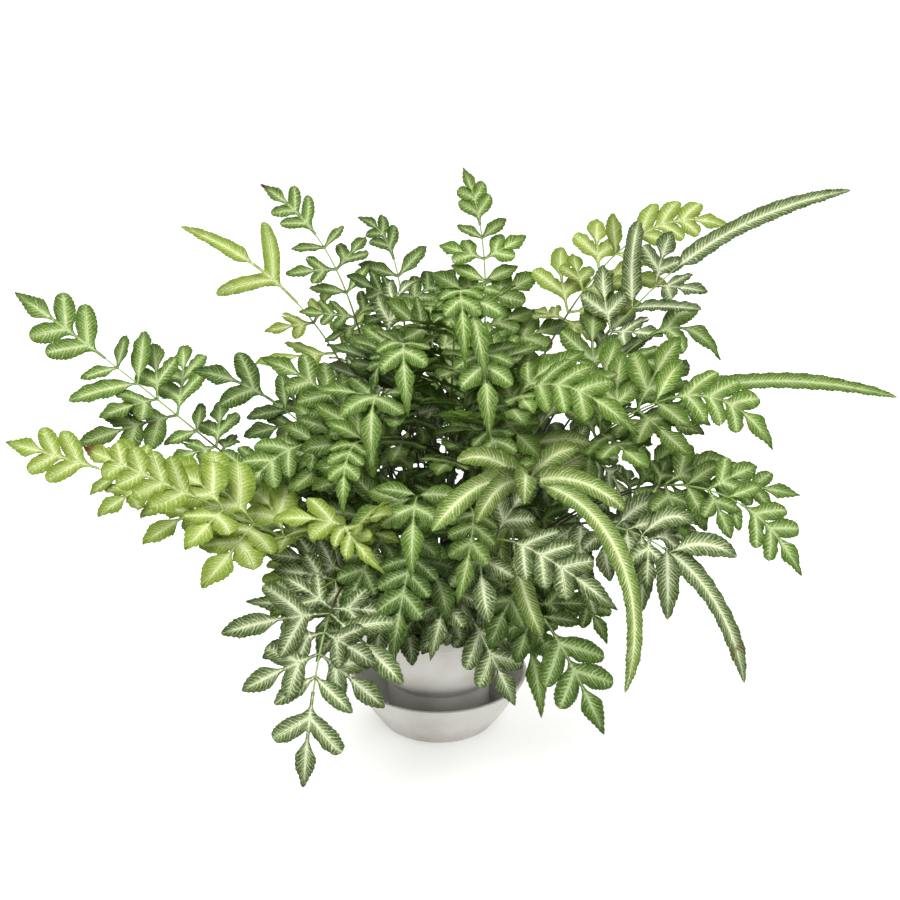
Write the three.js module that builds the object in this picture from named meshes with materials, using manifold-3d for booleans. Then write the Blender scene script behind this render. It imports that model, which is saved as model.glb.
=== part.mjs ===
// Silver brake fern (a silver-feathered Pteris) growing in a small lipped pot that stands in its saucer.
//
// Millimetres, +Z up. The origin is the middle of the saucer's underside, on the surface it stands on.
// The plant is one crown with dark wiry stalks. Each stalk carries one frond: a green midrib with pairs of
// lobed leaflets (pinnae) and a longer lobed end piece. Every frond is a solid of its own, bent clear of the
// others.
import * as THREE from 'three';
import { mergeVertices } from 'three/addons/utils/BufferGeometryUtils.js';
import Module from 'manifold-3d';

const wasm = await Module();
wasm.setup();

// ---------------------------------------------------------------------------------------- driving dimensions
const CLEARANCE = 0.3;          // air between two pieces that touch
const TURN_SIDES = 24;          // facets round the pot, the saucer and the soil

// The walls of the saucer and of the pot curve outwards: `bulge` is the control point of that curve.
const SAUCER = { base: 33, rim: 51.5, height: 30, wall: 2.2, floor: 2.4, bulge: { radius: 43, z: 13 } };
const POT = {
  top: 74, rim: 54, lip: 6, neck: 52.4, belly: 34, bellyZ: 32, foot: 29.5, step: 5, wall: 2.2, floor: 3,
  bulge: { radius: 46, z: 42 },
};
const DRAIN = { count: 4, radius: 3, circle: 17, sides: 10 };
const SOIL = { top: 66, edge: 40, mound: 1.2, lumps: 1.2 };
const CROWN = { radius: 15, top: 71, depth: 13, sides: 12, spread: 10 };

const STALK_RADIUS = 0.95;      // dark wiry stalk, three-sided
const STALK_STEPS = 4;
const RACHIS_RADIUS = 0.95;     // green midrib of a frond, three-sided
const BLADE = 0.7;              // thickness of a leaf
const WING = 0.8;               // half width of the strip of leaf along a rib between two lobes
const AIR = 0.3;                // leaves of different fronds stay at least this far apart
const TO_LIGHT = 45;            // degrees that a frond at the side turns its upper face to the front
const WAVE = 26;                // length of a wave along the edge of a long leaf
const FOLD = 0.22;              // how steeply the halves of a leaf rise from its rib
const CURL = 0.012;             // how fast they curl down again, per mm

// ---------------------------------------------------------------------------------------- finishes
const FINISH = {
  plastic: { color: 0xd9d8d3, roughness: 0.45, metalness: 0 },
  soil: { color: 0x241a13, roughness: 0.98, metalness: 0 },
  stalk: { color: 0x33241b, roughness: 0.55, metalness: 0 },
  young: { color: 0xa9c45c, roughness: 0.6, metalness: 0 },
  fresh: { color: 0x5f9a3c, roughness: 0.6, metalness: 0 },
  mid: { color: 0x57803f, roughness: 0.6, metalness: 0 },
  dark: { color: 0x3d5f38, roughness: 0.6, metalness: 0 },
  silver: { color: 0x8fa878, roughness: 0.6, metalness: 0 },
};

const UP = new THREE.Vector3(0, 0, 1);
const radians = THREE.MathUtils.degToRad;

// ---------------------------------------------------------------------------------------- the fronds
// A frond's midrib is a cubic through four points: its foot on the crown, the points at one and two thirds of
// its way, and its tip. `blade` is where on that way the dark stalk ends and the leaf begins, and `end` where
// the end piece begins. `pinnae` gives the length of each pair of pinnae from the lowest up and `lobes` the
// pairs of side lobes on each. `endLobes` is the pairs of lobes on the end piece, `fat` widens or narrows all
// lobes, `lean` is the angle of a pinna to the midrib in degrees, and `sag` how far a pinna arches down.
const LEAF = { fat: 1, lean: 56, sag: 28, endLobes: 3 };
const FRONDS = [
  // left side, reaching far out
  { leaf: 'mid', path: [[-83, 0, 131], [-154, 5, 193], [-230, 20, 249]], blade: 0.5, end: 0.79,
    pinnae: [34, 58, 36], lobes: [1, 2, 0], endLobes: 2, lean: 62 },
  { leaf: 'young', path: [[-78, -45, 128], [-152, -60, 169], [-218, -60, 191]], blade: 0.5, end: 0.76,
    pinnae: [42, 32], lobes: [1, 1], endLobes: 2 },
  { leaf: 'young', path: [[-57, -45, 119], [-117, -85, 170], [-168, -100, 203]], blade: 0.36, end: 0.66,
    pinnae: [66, 62], lobes: [2, 2], endLobes: 4, sag: 50 },
  // upper left
  { leaf: 'young', path: [[-31, 30, 148], [-71, 50, 224], [-145, 60, 277]], blade: 0.56, end: 0.72,
    pinnae: [48], lobes: [1], endLobes: 1, lean: 66 },
  { leaf: 'mid', path: [[-31, 35, 158], [-53, 60, 240], [-101, 75, 298]], blade: 0.58, end: 0.82,
    pinnae: [36, 30], lobes: [2, 1], endLobes: 2, lean: 66 },
  { leaf: 'dark', path: [[-16, 35, 158], [-22, 70, 238], [-47, 85, 277]], blade: 0.6, end: 0.76,
    pinnae: [40], lobes: [2], endLobes: 2 },
  { leaf: 'silver', path: [[-16, 20, 140], [-28, 30, 214], [-9, 45, 250]], blade: 0.56, end: 0.7,
    pinnae: [42], lobes: [2], endLobes: 2 },
  // top
  { leaf: 'fresh', path: [[18, 35, 146], [27, 65, 233], [14, 90, 305]], blade: 0.54, end: 0.84,
    pinnae: [52, 36, 27], lobes: [2, 0, 0], endLobes: 2, lean: 62 },
  // upper right
  { leaf: 'young', path: [[38, 35, 158], [92, 60, 252], [166, 60, 275]], blade: 0.55, end: 0.74,
    pinnae: [48, 38], lobes: [1, 1], endLobes: 3 },
  { leaf: 'silver', path: [[60, 20, 170], [123, 20, 257], [215, 5, 307]], blade: 0.46, end: 0.68,
    pinnae: [60, 54], lobes: [1, 1], endLobes: 0, lean: 50 },
  { leaf: 'mid', path: [[51, 5, 145], [103, 0, 222], [151, -5, 218]], blade: 0.53, end: 0.72,
    pinnae: [50], lobes: [1], endLobes: 1 },
  // right side
  { leaf: 'mid', path: [[67, -10, 157], [139, -20, 206], [243, -20, 202]], blade: 0.5, end: 0.64,
    pinnae: [50], lobes: [2], endLobes: 0, fat: 0.9 },
  { leaf: 'fresh', path: [[60, -25, 157], [118, -50, 211], [170, -60, 187]], blade: 0.46, end: 0.66,
    pinnae: [56, 44], lobes: [2, 1], endLobes: 3 },
  { leaf: 'mid', path: [[61, -30, 130], [115, -50, 163], [186, -60, 162]], blade: 0.58, end: 0.78,
    pinnae: [38, 34], lobes: [1, 1], endLobes: 3 },
  { leaf: 'mid', path: [[65, -40, 140], [127, -75, 173], [182, -90, 131]], blade: 0.58, end: 0.8,
    pinnae: [40, 32], lobes: [1, 1], endLobes: 2 },
  // front right
  { leaf: 'silver', path: [[33, -45, 159], [78, -115, 169], [90, -140, 93]], blade: 0.36, end: 0.46,
    pinnae: [78], lobes: [1], endLobes: 0, sag: 60, fat: 0.9 },
  { leaf: 'silver', path: [[56, -50, 139], [111, -105, 152], [151, -120, 87]], blade: 0.42, end: 0.66,
    pinnae: [54, 46], lobes: [1, 0], endLobes: 0, sag: 80, fat: 0.9 },
  { leaf: 'dark', path: [[27, -60, 123], [56, -100, 108], [82, -130, 64]], blade: 0.48, end: 0.66,
    pinnae: [40, 30], lobes: [1, 1], endLobes: 2 },
  // front
  { leaf: 'silver', path: [[4, -55, 112], [21, -85, 98], [40, -95, 60]], blade: 0.36, end: 0.6,
    pinnae: [48, 36], lobes: [1, 1], endLobes: 2 },
  { leaf: 'silver', path: [[-40, -70, 125], [-55, -135, 113], [-64, -150, 47]], blade: 0.54, end: 0.77,
    pinnae: [52, 38], lobes: [1, 1], endLobes: 1, fat: 0.9 },
  { leaf: 'silver', path: [[-33, -60, 120], [-50, -100, 127], [-86, -120, 129]], blade: 0.46, end: 0.66,
    pinnae: [46], lobes: [2], endLobes: 2 },
  { leaf: 'young', path: [[-27, -60, 126], [-45, -90, 158], [-25, -110, 141]], blade: 0.56, end: 0.7,
    pinnae: [38], lobes: [1], endLobes: 2 },
  { leaf: 'silver', path: [[14, -60, 132], [41, -95, 150], [88, -115, 124]], blade: 0.44, end: 0.62,
    pinnae: [46, 40], lobes: [1, 1], endLobes: 3 },
  // middle
  { leaf: 'fresh', path: [[18, -10, 139], [42, -45, 211], [100, -75, 200]], blade: 0.52, end: 0.7,
    pinnae: [58, 46], lobes: [2, 1], endLobes: 3 },
  { leaf: 'mid', path: [[-21, -10, 127], [-44, -20, 186], [-93, -20, 224]], blade: 0.5, end: 0.68,
    pinnae: [56, 46], lobes: [2, 1], endLobes: 3 },
  { leaf: 'dark', path: [[-40, 5, 135], [-85, 8, 186], [-134, 5, 209]], blade: 0.46, end: 0.7,
    pinnae: [50, 40], lobes: [2, 1], endLobes: 1 },
  { leaf: 'mid', path: [[-38, -12, 125], [-80, -18, 160], [-128, -22, 158]], blade: 0.46, end: 0.68,
    pinnae: [50, 42], lobes: [1, 1], endLobes: 3 },
  { leaf: 'dark', path: [[-12, -42, 125], [-26, -78, 146], [-48, -112, 112]], blade: 0.44, end: 0.64,
    pinnae: [50, 42], lobes: [1, 1], endLobes: 3 },
  { leaf: 'mid', path: [[10, -38, 135], [18, -72, 158], [10, -112, 126]], blade: 0.44, end: 0.64,
    pinnae: [50, 42], lobes: [1, 1], endLobes: 3 },
];

// The rest of the clump fills it on all sides, from tall inner fronds to low outer ones. `back` pulls them a
// little towards the back, where no other frond grows.
const CLUMP = {
  count: 11, start: 100, turn: 137.5, back: 15, reach: [38, 140], top: [236, 128], dip: [8, 50], foot: 66,
};
const CLUMP_LEAVES = ['mid', 'dark', 'fresh', 'silver'];

function clumpRows() {
  const between = ([from, to], share) => from + (to - from) * share;
  return Array.from({ length: CLUMP.count }, (_, i) => {
    const share = (i + 0.5) / CLUMP.count;
    const even = radians(CLUMP.start + i * CLUMP.turn);
    const angle = even + radians(CLUMP.back) * Math.cos(even);
    const reach = between(CLUMP.reach, share);
    const top = between(CLUMP.top, share);
    const at = (out, up) => [reach * out * Math.cos(angle), reach * out * Math.sin(angle), up];
    return {
      leaf: CLUMP_LEAVES[i % CLUMP_LEAVES.length],
      path: [
        at(0.32, between([CLUMP.foot, top], 0.62)), at(0.68, top), at(1, top - between(CLUMP.dip, share)),
      ],
      blade: 0.46, end: 0.68, pinnae: [52, 42], lobes: [2 - i % 2, 1], endLobes: 2 + i % 2,
    };
  });
}

// ---------------------------------------------------------------------------------------- solids
function solidOf(vertices, triangles) {
  return new wasm.Manifold(new wasm.Mesh({
    numProp: 3, vertProperties: Float32Array.from(vertices), triVerts: Uint32Array.from(triangles),
  }));
}

function solidFrom(geometry) {
  geometry.deleteAttribute('normal');
  geometry.deleteAttribute('uv');
  const merged = mergeVertices(geometry, 1e-4);
  return solidOf(merged.attributes.position.array, merged.index.array);
}

function geometryOf(solid) {
  const mesh = solid.getMesh();
  const geometry = new THREE.BufferGeometry();
  geometry.setAttribute('position', new THREE.BufferAttribute(mesh.vertProperties, 3));
  geometry.setIndex(new THREE.BufferAttribute(mesh.triVerts, 1));
  geometry.computeVertexNormals();
  return geometry;
}

function join(solids) {
  return solids.reduce((whole, next) => whole.add(next));
}

function apart(a, b) {
  const boxA = a.boundingBox();
  const boxB = b.boundingBox();
  for (let axis = 0; axis < 3; axis += 1) {
    if (boxA.min[axis] > boxB.max[axis] || boxB.min[axis] > boxA.max[axis]) return true;
  }
  return a.intersect(b).isEmpty();
}

// Turns an outline of radius and height round the upright axis.
function turnedGeometry(outline, sides = TURN_SIDES) {
  return new THREE.LatheGeometry(outline, sides).rotateX(Math.PI / 2);
}

// ---------------------------------------------------------------------------------------- pot, saucer, soil
function makeSaucer() {
  const { base, rim, height, wall, floor, bulge } = SAUCER;
  const outline = new THREE.Path();
  outline.moveTo(0, 0);
  outline.lineTo(base, 0);
  outline.quadraticCurveTo(bulge.radius, bulge.z, rim, height);
  outline.lineTo(rim - wall, height);
  outline.quadraticCurveTo(bulge.radius - wall, bulge.z + wall, base - 1, floor);
  outline.lineTo(0, floor);
  return solidFrom(turnedGeometry(outline.getPoints(3)));
}

// The pot's wall, set in by `inset`, between the edge of its belly and the neck under its lip.
function addWall(outline, inset, upwards) {
  const rise = inset * 0.35;
  const belly = new THREE.Vector2(POT.belly - inset, POT.bellyZ + rise);
  const bulge = new THREE.Vector2(POT.bulge.radius - inset, POT.bulge.z + rise);
  const neck = new THREE.Vector2(POT.neck - inset, POT.top - POT.lip);
  const [from, to] = upwards ? [belly, neck] : [neck, belly];
  outline.lineTo(from.x, from.y);
  outline.quadraticCurveTo(bulge.x, bulge.y, to.x, to.y);
}

function makePot() {
  const { top, rim, lip, foot, wall, floor, bellyZ, step } = POT;
  const bottom = SAUCER.floor + CLEARANCE;
  const outline = new THREE.Path();
  outline.moveTo(0, bottom);
  outline.lineTo(foot, bottom);
  outline.lineTo(foot, bellyZ - step);
  addWall(outline, 0, true);
  outline.lineTo(rim, top - lip);
  outline.lineTo(rim, top - 1);
  outline.lineTo(rim - 1, top);
  outline.lineTo(rim - wall, top);
  addWall(outline, wall, false);
  outline.lineTo(foot - wall, bellyZ - step + 1);
  outline.lineTo(foot - wall, bottom + floor);
  outline.lineTo(0, bottom + floor);
  const holes = [];
  for (let i = 0; i < DRAIN.count; i += 1) {
    const angle = (i + 0.5) * 2 * Math.PI / DRAIN.count;
    const hole = new THREE.CylinderGeometry(DRAIN.radius, DRAIN.radius, 4 * floor, DRAIN.sides);
    hole.rotateX(Math.PI / 2);
    hole.translate(DRAIN.circle * Math.cos(angle), DRAIN.circle * Math.sin(angle), bottom);
    holes.push(solidFrom(hole));
  }
  return solidFrom(turnedGeometry(outline.getPoints(3))).subtract(join(holes));
}

// The soil fills the pot to under its lip, rises a little to the crown and has a lumpy surface. The crown
// stands in a plain pocket in it.
function makeSoil() {
  const { foot, wall, floor, bellyZ, step } = POT;
  const inset = wall + CLEARANCE;
  const bottom = SAUCER.floor + floor + 2 * CLEARANCE;
  const pocket = CROWN.radius + 2 * CLEARANCE;
  const pocketFloor = CROWN.top - CROWN.depth - CLEARANCE;
  const outline = new THREE.Path();
  outline.moveTo(0, bottom);
  outline.lineTo(foot - inset, bottom);
  outline.lineTo(foot - inset, bellyZ - step + 1);
  addWall(outline, inset, true);
  outline.lineTo(SOIL.edge, SOIL.top);
  outline.lineTo(0.7 * SOIL.edge, SOIL.top + SOIL.mound / 2);
  outline.lineTo(pocket, SOIL.top + SOIL.mound);
  outline.lineTo(pocket, pocketFloor);
  outline.lineTo(0, pocketFloor);
  const geometry = turnedGeometry(outline.getPoints(3));
  const at = geometry.attributes.position;
  for (let i = 0; i < at.count; i += 1) {
    const [x, y, z] = [at.getX(i), at.getY(i), at.getZ(i)];
    const open = Math.hypot(x, y) < SOIL.edge + 1 && z > SOIL.top - 1;
    if (open) at.setZ(i, z + SOIL.lumps * Math.sin(0.31 * x + 1) * Math.cos(0.27 * y - 0.4));
  }
  return solidFrom(geometry);
}

function makeCrown() {
  const { radius, top, depth } = CROWN;
  const outline = new THREE.Path();
  outline.moveTo(0, top - depth);
  outline.lineTo(radius - 4, top - depth);
  outline.lineTo(radius, top - depth + 4);
  outline.quadraticCurveTo(radius, top - 1, 0, top);
  return solidFrom(turnedGeometry(outline.getPoints(3), CROWN.sides));
}

// ---------------------------------------------------------------------------------------- midribs
// A frond's way: a cubic that passes through four points at 0, 1/3, 2/3 and 1, with the frames along it.
// `t` points along the way, `n` out of the leaf's upper face, and `s` to its right. The leaf turns about the
// way by TO_LIGHT, because fronds at the sides face the light at the front.
class Way extends THREE.Curve {
  constructor(points) {
    super();
    const [a, b, c, d] = points;
    this.outward = points[3].clone().sub(points[0]).setZ(0).normalize();
    this.right = this.outward.clone().cross(UP);
    this.roll = radians(TO_LIGHT) * this.outward.x;
    this.controls = [
      a,
      a.clone().multiplyScalar(-5).addScaledVector(b, 18).addScaledVector(c, -9).addScaledVector(d, 2)
        .divideScalar(6),
      a.clone().multiplyScalar(2).addScaledVector(b, -9).addScaledVector(c, 18).addScaledVector(d, -5)
        .divideScalar(6),
      d,
    ];
  }

  getPoint(t) {
    const [a, b, c, d] = this.controls;
    const u = 1 - t;
    return a.clone().multiplyScalar(u * u * u).addScaledVector(b, 3 * u * u * t)
      .addScaledVector(c, 3 * u * t * t).addScaledVector(d, t * t * t);
  }

  frame(t) {
    const [a, b, c, d] = this.controls;
    const u = 1 - t;
    const tangent = b.clone().sub(a).multiplyScalar(u * u)
      .addScaledVector(c.clone().sub(b), 2 * u * t)
      .addScaledVector(d.clone().sub(c), t * t).normalize();
    const side = this.right.clone().addScaledVector(tangent, -this.right.dot(tangent)).normalize();
    side.applyAxisAngle(tangent, this.roll * t);
    return { p: this.getPoint(t), t: tangent, s: side, n: side.clone().cross(tangent) };
  }
}

// A stretch of a way, as a curve of its own.
class Stretch extends THREE.Curve {
  constructor(way, from, to) {
    super();
    Object.assign(this, { way, from, to });
  }

  getPoint(u) {
    return this.way.getPoint(this.from + (this.to - this.from) * u);
  }
}

function rod(way, from, to, radius, steps) {
  const section = new THREE.Shape();
  for (let corner = 0; corner < 3; corner += 1) {
    const angle = corner * 2 * Math.PI / 3;
    const [x, y] = [radius * Math.cos(angle), radius * Math.sin(angle)];
    if (corner === 0) section.moveTo(x, y);
    else section.lineTo(x, y);
  }
  section.closePath();
  const extrudePath = new Stretch(way, from, to);
  return solidFrom(new THREE.ExtrudeGeometry(section, { steps, extrudePath, curveSegments: 1 }));
}

// ---------------------------------------------------------------------------------------- ribs
// The rib of an end piece follows the frond's way from `from` to its tip.
function endRib(way, from) {
  const [start, middle, tip] = [from, (from + 1) / 2, 1].map((t) => way.getPoint(t));
  const length = start.distanceTo(middle) + middle.distanceTo(tip);
  return { length, at: (s) => way.frame(from + (1 - from) * s / length) };
}

// The rib of a pinna leaves the midrib at a lean, raised by `lift`, and arches down by `sag` over its length.
function pinnaRib(root, side, length, { lean, sag, lift }) {
  const flat = root.t.clone().multiplyScalar(Math.cos(lean))
    .addScaledVector(root.s, side * Math.sin(lean));
  const along = flat.clone().multiplyScalar(Math.cos(lift)).addScaledVector(root.n, Math.sin(lift));
  const up = root.n.clone().multiplyScalar(Math.cos(lift)).addScaledVector(flat, -Math.sin(lift));
  const right = along.clone().cross(up);
  const bend = sag / length;
  const at = (s) => {
    const angle = bend * s;
    const forward = Math.sin(angle) / bend;
    const down = (1 - Math.cos(angle)) / bend;
    return {
      p: root.p.clone().addScaledVector(along, forward).addScaledVector(up, -down),
      t: along.clone().multiplyScalar(Math.cos(angle)).addScaledVector(up, -Math.sin(angle)),
      n: up.clone().multiplyScalar(Math.cos(angle)).addScaledVector(along, Math.sin(angle)),
      s: right,
    };
  };
  return { length, at };
}

// ---------------------------------------------------------------------------------------- leaves
// A thin sheet of points and triangles. Both faces are split alike, and a wall closes every open edge.
class Sheet {
  constructor() {
    this.points = [];
    this.faces = [];
  }

  add(p, n, half) {
    return this.points.push({ p, n, half }) - 1;
  }

  // Splits a flat outline, given as [index, x, y] corners, into triangles that turn to the left.
  fill(outline) {
    const corners = outline.filter(([index], i) => index !== outline.at(i - 1)[0]);
    const flat = corners.map(([, x, y]) => new THREE.Vector2(x, y));
    for (const [a, b, c] of THREE.ShapeUtils.triangulateShape([...flat], [])) {
      const turn = flat[b].clone().sub(flat[a]).cross(flat[c].clone().sub(flat[a]));
      const [i, j, k] = [a, b, c].map((corner) => corners[corner][0]);
      this.faces.push(turn > 0 ? [i, j, k] : [i, k, j]);
    }
  }

  geometry(air = 0) {
    const vertices = [];
    for (const face of [1, -1]) {
      for (const { p, n, half } of this.points) {
        const at = p.clone().addScaledVector(n, face * (half + air));
        vertices.push(at.x, at.y, at.z);
      }
    }
    const under = this.points.length;
    const triangles = [];
    const edges = new Set();
    for (const [i, j, k] of this.faces) {
      triangles.push(i, j, k, under + i, under + k, under + j);
      for (const edge of [[i, j], [j, k], [k, i]]) edges.add(edge.join());
    }
    for (const edge of edges) {
      const [i, j] = edge.split(',').map(Number);
      if (!edges.has([j, i].join())) triangles.push(under + i, under + j, j, under + i, j, i);
    }
    const geometry = new THREE.BufferGeometry();
    geometry.setAttribute('position', new THREE.BufferAttribute(Float32Array.from(vertices), 3));
    geometry.setIndex(triangles);
    return geometry;
  }

  solid(air = 0) {
    const geometry = this.geometry(air);
    return solidOf(geometry.attributes.position.array, geometry.index.array);
  }
}

// The plan of a leaf, flat: s runs along its rib and w across. Side lobes slant forward in pairs, cut to the
// rib, and the end lobe takes the rest. LOBED gives where the side lobes begin and end along the rib, and how
// long they are, as shares of its length, for each number of pairs.
const SLANT = radians(48);
const LOBED = [
  [0.06, 0.06, 0], [0.12, 0.46, 0.44], [0.1, 0.58, 0.38], [0.08, 0.66, 0.32], [0.07, 0.72, 0.28],
];

function leafPlan(length, pairs, fat) {
  const [first, last, long] = LOBED[pairs].map((share) => share * length);
  const pitch = pairs ? (last - first) / pairs : 0;
  const lobes = [];
  for (let i = 0; i < pairs; i += 1) {
    lobes.push({
      from: first + (i + 0.4) * pitch, length: long * (1 - 0.12 * i), half: Math.min(0.35 * pitch, 5) * fat,
    });
  }
  const endHalf = fat * Math.min(pairs ? Math.max(0.42 * pitch, 3.2) : 0.17 * length, 5.2);
  return { length, lobes, first, last, pitch, endHalf };
}

// One half of a leaf as bands along its rib: the edge of each from where the last one ended, and the place on
// the rib where it ends. The last band ends at the tip.
function leafBands(plan) {
  const bands = plan.lobes.map((lobe, i) => {
    const at = (a, b) => [
      lobe.from + Math.cos(SLANT) * a * lobe.length + Math.sin(SLANT) * b * lobe.half,
      Math.sin(SLANT) * a * lobe.length - Math.cos(SLANT) * b * lobe.half,
    ];
    const notch = plan.first + (i + 1) * plan.pitch;
    return { edge: [at(0.38, -1), at(1, -0.1), at(0.66, 1), [notch, WING]], rib: notch };
  });
  const rest = plan.length - plan.last;
  const waves = Math.max(1, Math.round(rest / WAVE));
  for (let i = 0; i < waves; i += 1) {
    const share = (i + 0.42) / waves;
    const half = plan.endHalf * (1 - 0.55 * share * share) * (i % 2 ? 0.86 : 1);
    const at = plan.last + share * rest;
    bands.push({ edge: [[at, half]], rib: waves > 1 ? at : undefined });
  }
  bands.push({ edge: [], rib: plan.length });
  return bands.filter((band) => band.rib !== undefined || band.edge.length);
}

// Adds a leaf to a sheet. Its root corners are points of the sheet already.
function addLeaf(sheet, rib, plan, { left, middle, right }) {
  const put = ([s, w]) => {
    const { p, n, s: aside } = rib.at(s);
    const rise = FOLD * Math.abs(w) - CURL * w * w;
    return [sheet.add(p.addScaledVector(aside, w).addScaledVector(n, rise), n, BLADE / 2), w, s];
  };
  const leftRoot = [left, -WING, 0];
  const middleRoot = middle === undefined ? leftRoot : [middle, 0, 0];
  let from = { left: leftRoot, middle: middleRoot, right: [right, WING, 0] };
  let rights = [];
  let lefts = [];
  for (const { edge, rib: end } of leafBands(plan)) {
    rights.push(...edge.map(put));
    lefts.push(...edge.map(([s, w]) => put([s, -w])));
    if (end !== undefined) {
      const top = put([end, 0]);
      sheet.fill([from.middle, from.right, ...rights, top]);
      sheet.fill([from.left, from.middle, top, ...[...lefts].reverse()]);
      from = { left: lefts.at(-1), middle: top, right: rights.at(-1) };
      rights = [];
      lefts = [];
    }
  }
}

// A leaf by itself, to see whether it is clear of the others.
function loneLeaf(rib, plan) {
  const sheet = new Sheet();
  const { p, n, s } = rib.at(0);
  const [left, right] = [-WING, WING].map((w) => sheet.add(p.clone().addScaledVector(s, w), n, BLADE / 2));
  addLeaf(sheet, rib, plan, { left, right });
  return sheet;
}

// A station of a midrib: three points across it. The middle one is thick, so the midrib is a slim rod.
function addStation(sheet, frame) {
  const [left, middle, right] = [-WING, 0, WING].map((w) => (
    sheet.add(frame.p.clone().addScaledVector(frame.s, w), frame.n, w ? BLADE / 2 : RACHIS_RADIUS)
  ));
  return { left, middle, right };
}

function linkStations(sheet, a, b) {
  sheet.faces.push([a.left, a.middle, b.middle], [a.left, b.middle, b.left]);
  sheet.faces.push([a.middle, a.right, b.right], [a.middle, b.right, b.middle]);
}

// ---------------------------------------------------------------------------------------- growing the plant
// The ways a frond may sway aside, in mm, and the lifts a pinna may take, in degrees, to stay clear.
const SWAYS = [0, 4, -4, 8, -8, 13, -13, 18, -18, 24, -24];
const LIFTS = [6, -6, 18, -20, 32, -34, 46, -48, 62, -62];

// A steady scatter between -1 and 1 for each number.
function scatter(seed) {
  const wave = Math.sin(seed * 12.9898) * 43758.5453;
  return 2 * (wave - Math.floor(wave)) - 1;
}

function footOf([x, y], spread) {
  const reach = Math.min(1, Math.hypot(x, y) / 70) * spread;
  const angle = Math.atan2(y, x);
  return [reach * Math.cos(angle), reach * Math.sin(angle), CROWN.top - 3];
}

function wayOf(row, sway) {
  const points = [footOf(row.path[0], CROWN.spread), ...row.path].map((at) => new THREE.Vector3(...at));
  const aside = points[3].clone().sub(points[0]).setZ(0).normalize().cross(UP);
  points[1].addScaledVector(aside, sway / 2);
  points[2].addScaledVector(aside, sway);
  points[3].addScaledVector(aside, sway);
  return new Way(points);
}

// Where the pairs of pinnae leave the midrib, as shares of its way.
function pairPlaces(row) {
  const step = (row.end - row.blade) / row.pinnae.length;
  return row.pinnae.map((length, pair) => row.blade + (pair + 0.1) * step + 0.01);
}

function pinnaOf(row, way, number, pair, side, lift) {
  const seed = 31 * number + 7 * pair + side;
  const length = row.pinnae[pair] * (1 + 0.08 * scatter(seed));
  const rib = pinnaRib(way.frame(pairPlaces(row)[pair]), side, length, {
    lean: radians(row.lean + 7 * scatter(seed + 100)),
    sag: radians(row.sag * (1 + 0.3 * scatter(seed + 200))),
    lift: radians(lift + 4 * scatter(seed + 300)),
  });
  return { rib, plan: leafPlan(length, row.lobes[pair], row.fat) };
}

function firstClear(options, make, isClear) {
  for (const option of options) {
    const made = make(option);
    if (isClear(made)) return made;
  }
  return null;
}

// Stalks, midribs and end pieces are laid first, swayed aside where they would cross one that is there.
function layFrond(row, number, laid) {
  const make = (sway) => {
    const way = wayOf(row, sway);
    const gap = CLEARANCE / way.getLength();
    const rib = endRib(way, row.end);
    const end = { rib, plan: leafPlan(rib.length, row.endLobes, row.fat) };
    const spine = new Sheet();
    const shares = [0, 0.33, 0.66, 1].map((share) => row.blade + (row.end - row.blade) * share);
    const stations = shares.map((t) => addStation(spine, way.frame(t)));
    stations.slice(1).forEach((station, i) => linkStations(spine, stations[i], station));
    const endLeaf = loneLeaf(rib, end.plan);
    return {
      row, number, way, end, pinnae: [],
      stalk: rod(way, 0, row.blade - gap, STALK_RADIUS, STALK_STEPS),
      wideStalk: rod(way, 0.12, row.blade, STALK_RADIUS + AIR, STALK_STEPS),
      solids: [spine.solid(), endLeaf.solid()],
      wide: [spine.solid(AIR), endLeaf.solid(AIR)],
    };
  };
  const isClear = (made) => laid.every((other) => (
    made.wide.every((wide) => [other.stalk, ...other.solids].every((solid) => apart(wide, solid)))
    && other.solids.every((solid) => apart(made.wideStalk, solid))
  ));
  return firstClear(SWAYS, make, isClear);
}

// Then every pinna takes the first lift that clears all that is there. One with no room doesn't grow.
function growPinnae(frond, laid) {
  const { row, way, number } = frond;
  const others = laid.filter((other) => other !== frond)
    .flatMap((other) => [other.stalk, ...other.solids]);
  for (let pair = 0; pair < row.pinnae.length; pair += 1) {
    const own = frond.solids.slice(1);
    for (const side of [-1, 1]) {
      const make = (lift) => {
        const pinna = pinnaOf(row, way, number, pair, side, lift);
        return { ...pinna, pair, side, sheet: loneLeaf(pinna.rib, pinna.plan) };
      };
      const isClear = (pinna) => {
        const wide = pinna.sheet.solid(AIR);
        return others.every((solid) => apart(wide, solid)) && own.every((solid) => apart(wide, solid));
      };
      const pinna = firstClear(LIFTS, make, isClear);
      if (pinna) {
        frond.pinnae.push(pinna);
        frond.solids.push(pinna.sheet.solid());
      }
    }
  }
}

// The whole frond as one sheet: the midrib's stations in order, each pinna from between two of them, and the
// end piece from the last.
function frondSheet({ row, way, end, pinnae }) {
  const sheet = new Sheet();
  const halfRoot = 1.1 / way.getLength();
  const station = (t) => addStation(sheet, way.frame(t));
  let last = station(row.blade);
  pairPlaces(row).forEach((place, pair) => {
    const [before, after] = [station(place - halfRoot), station(place + halfRoot)];
    linkStations(sheet, last, before);
    linkStations(sheet, before, after);
    for (const { rib, plan, side } of pinnae.filter((pinna) => pinna.pair === pair)) {
      const [left, right] = side > 0 ? [after.right, before.right] : [before.left, after.left];
      addLeaf(sheet, rib, plan, { left, right });
    }
    last = after;
  });
  const top = station(row.end);
  linkStations(sheet, last, top);
  addLeaf(sheet, end.rib, end.plan, top);
  return sheet;
}

function growFronds(rows) {
  const laid = [];
  rows.forEach((row, number) => {
    const frond = layFrond(row, number, laid);
    if (frond) laid.push(frond);
  });
  for (const frond of laid) growPinnae(frond, laid);
  return laid;
}

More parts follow.
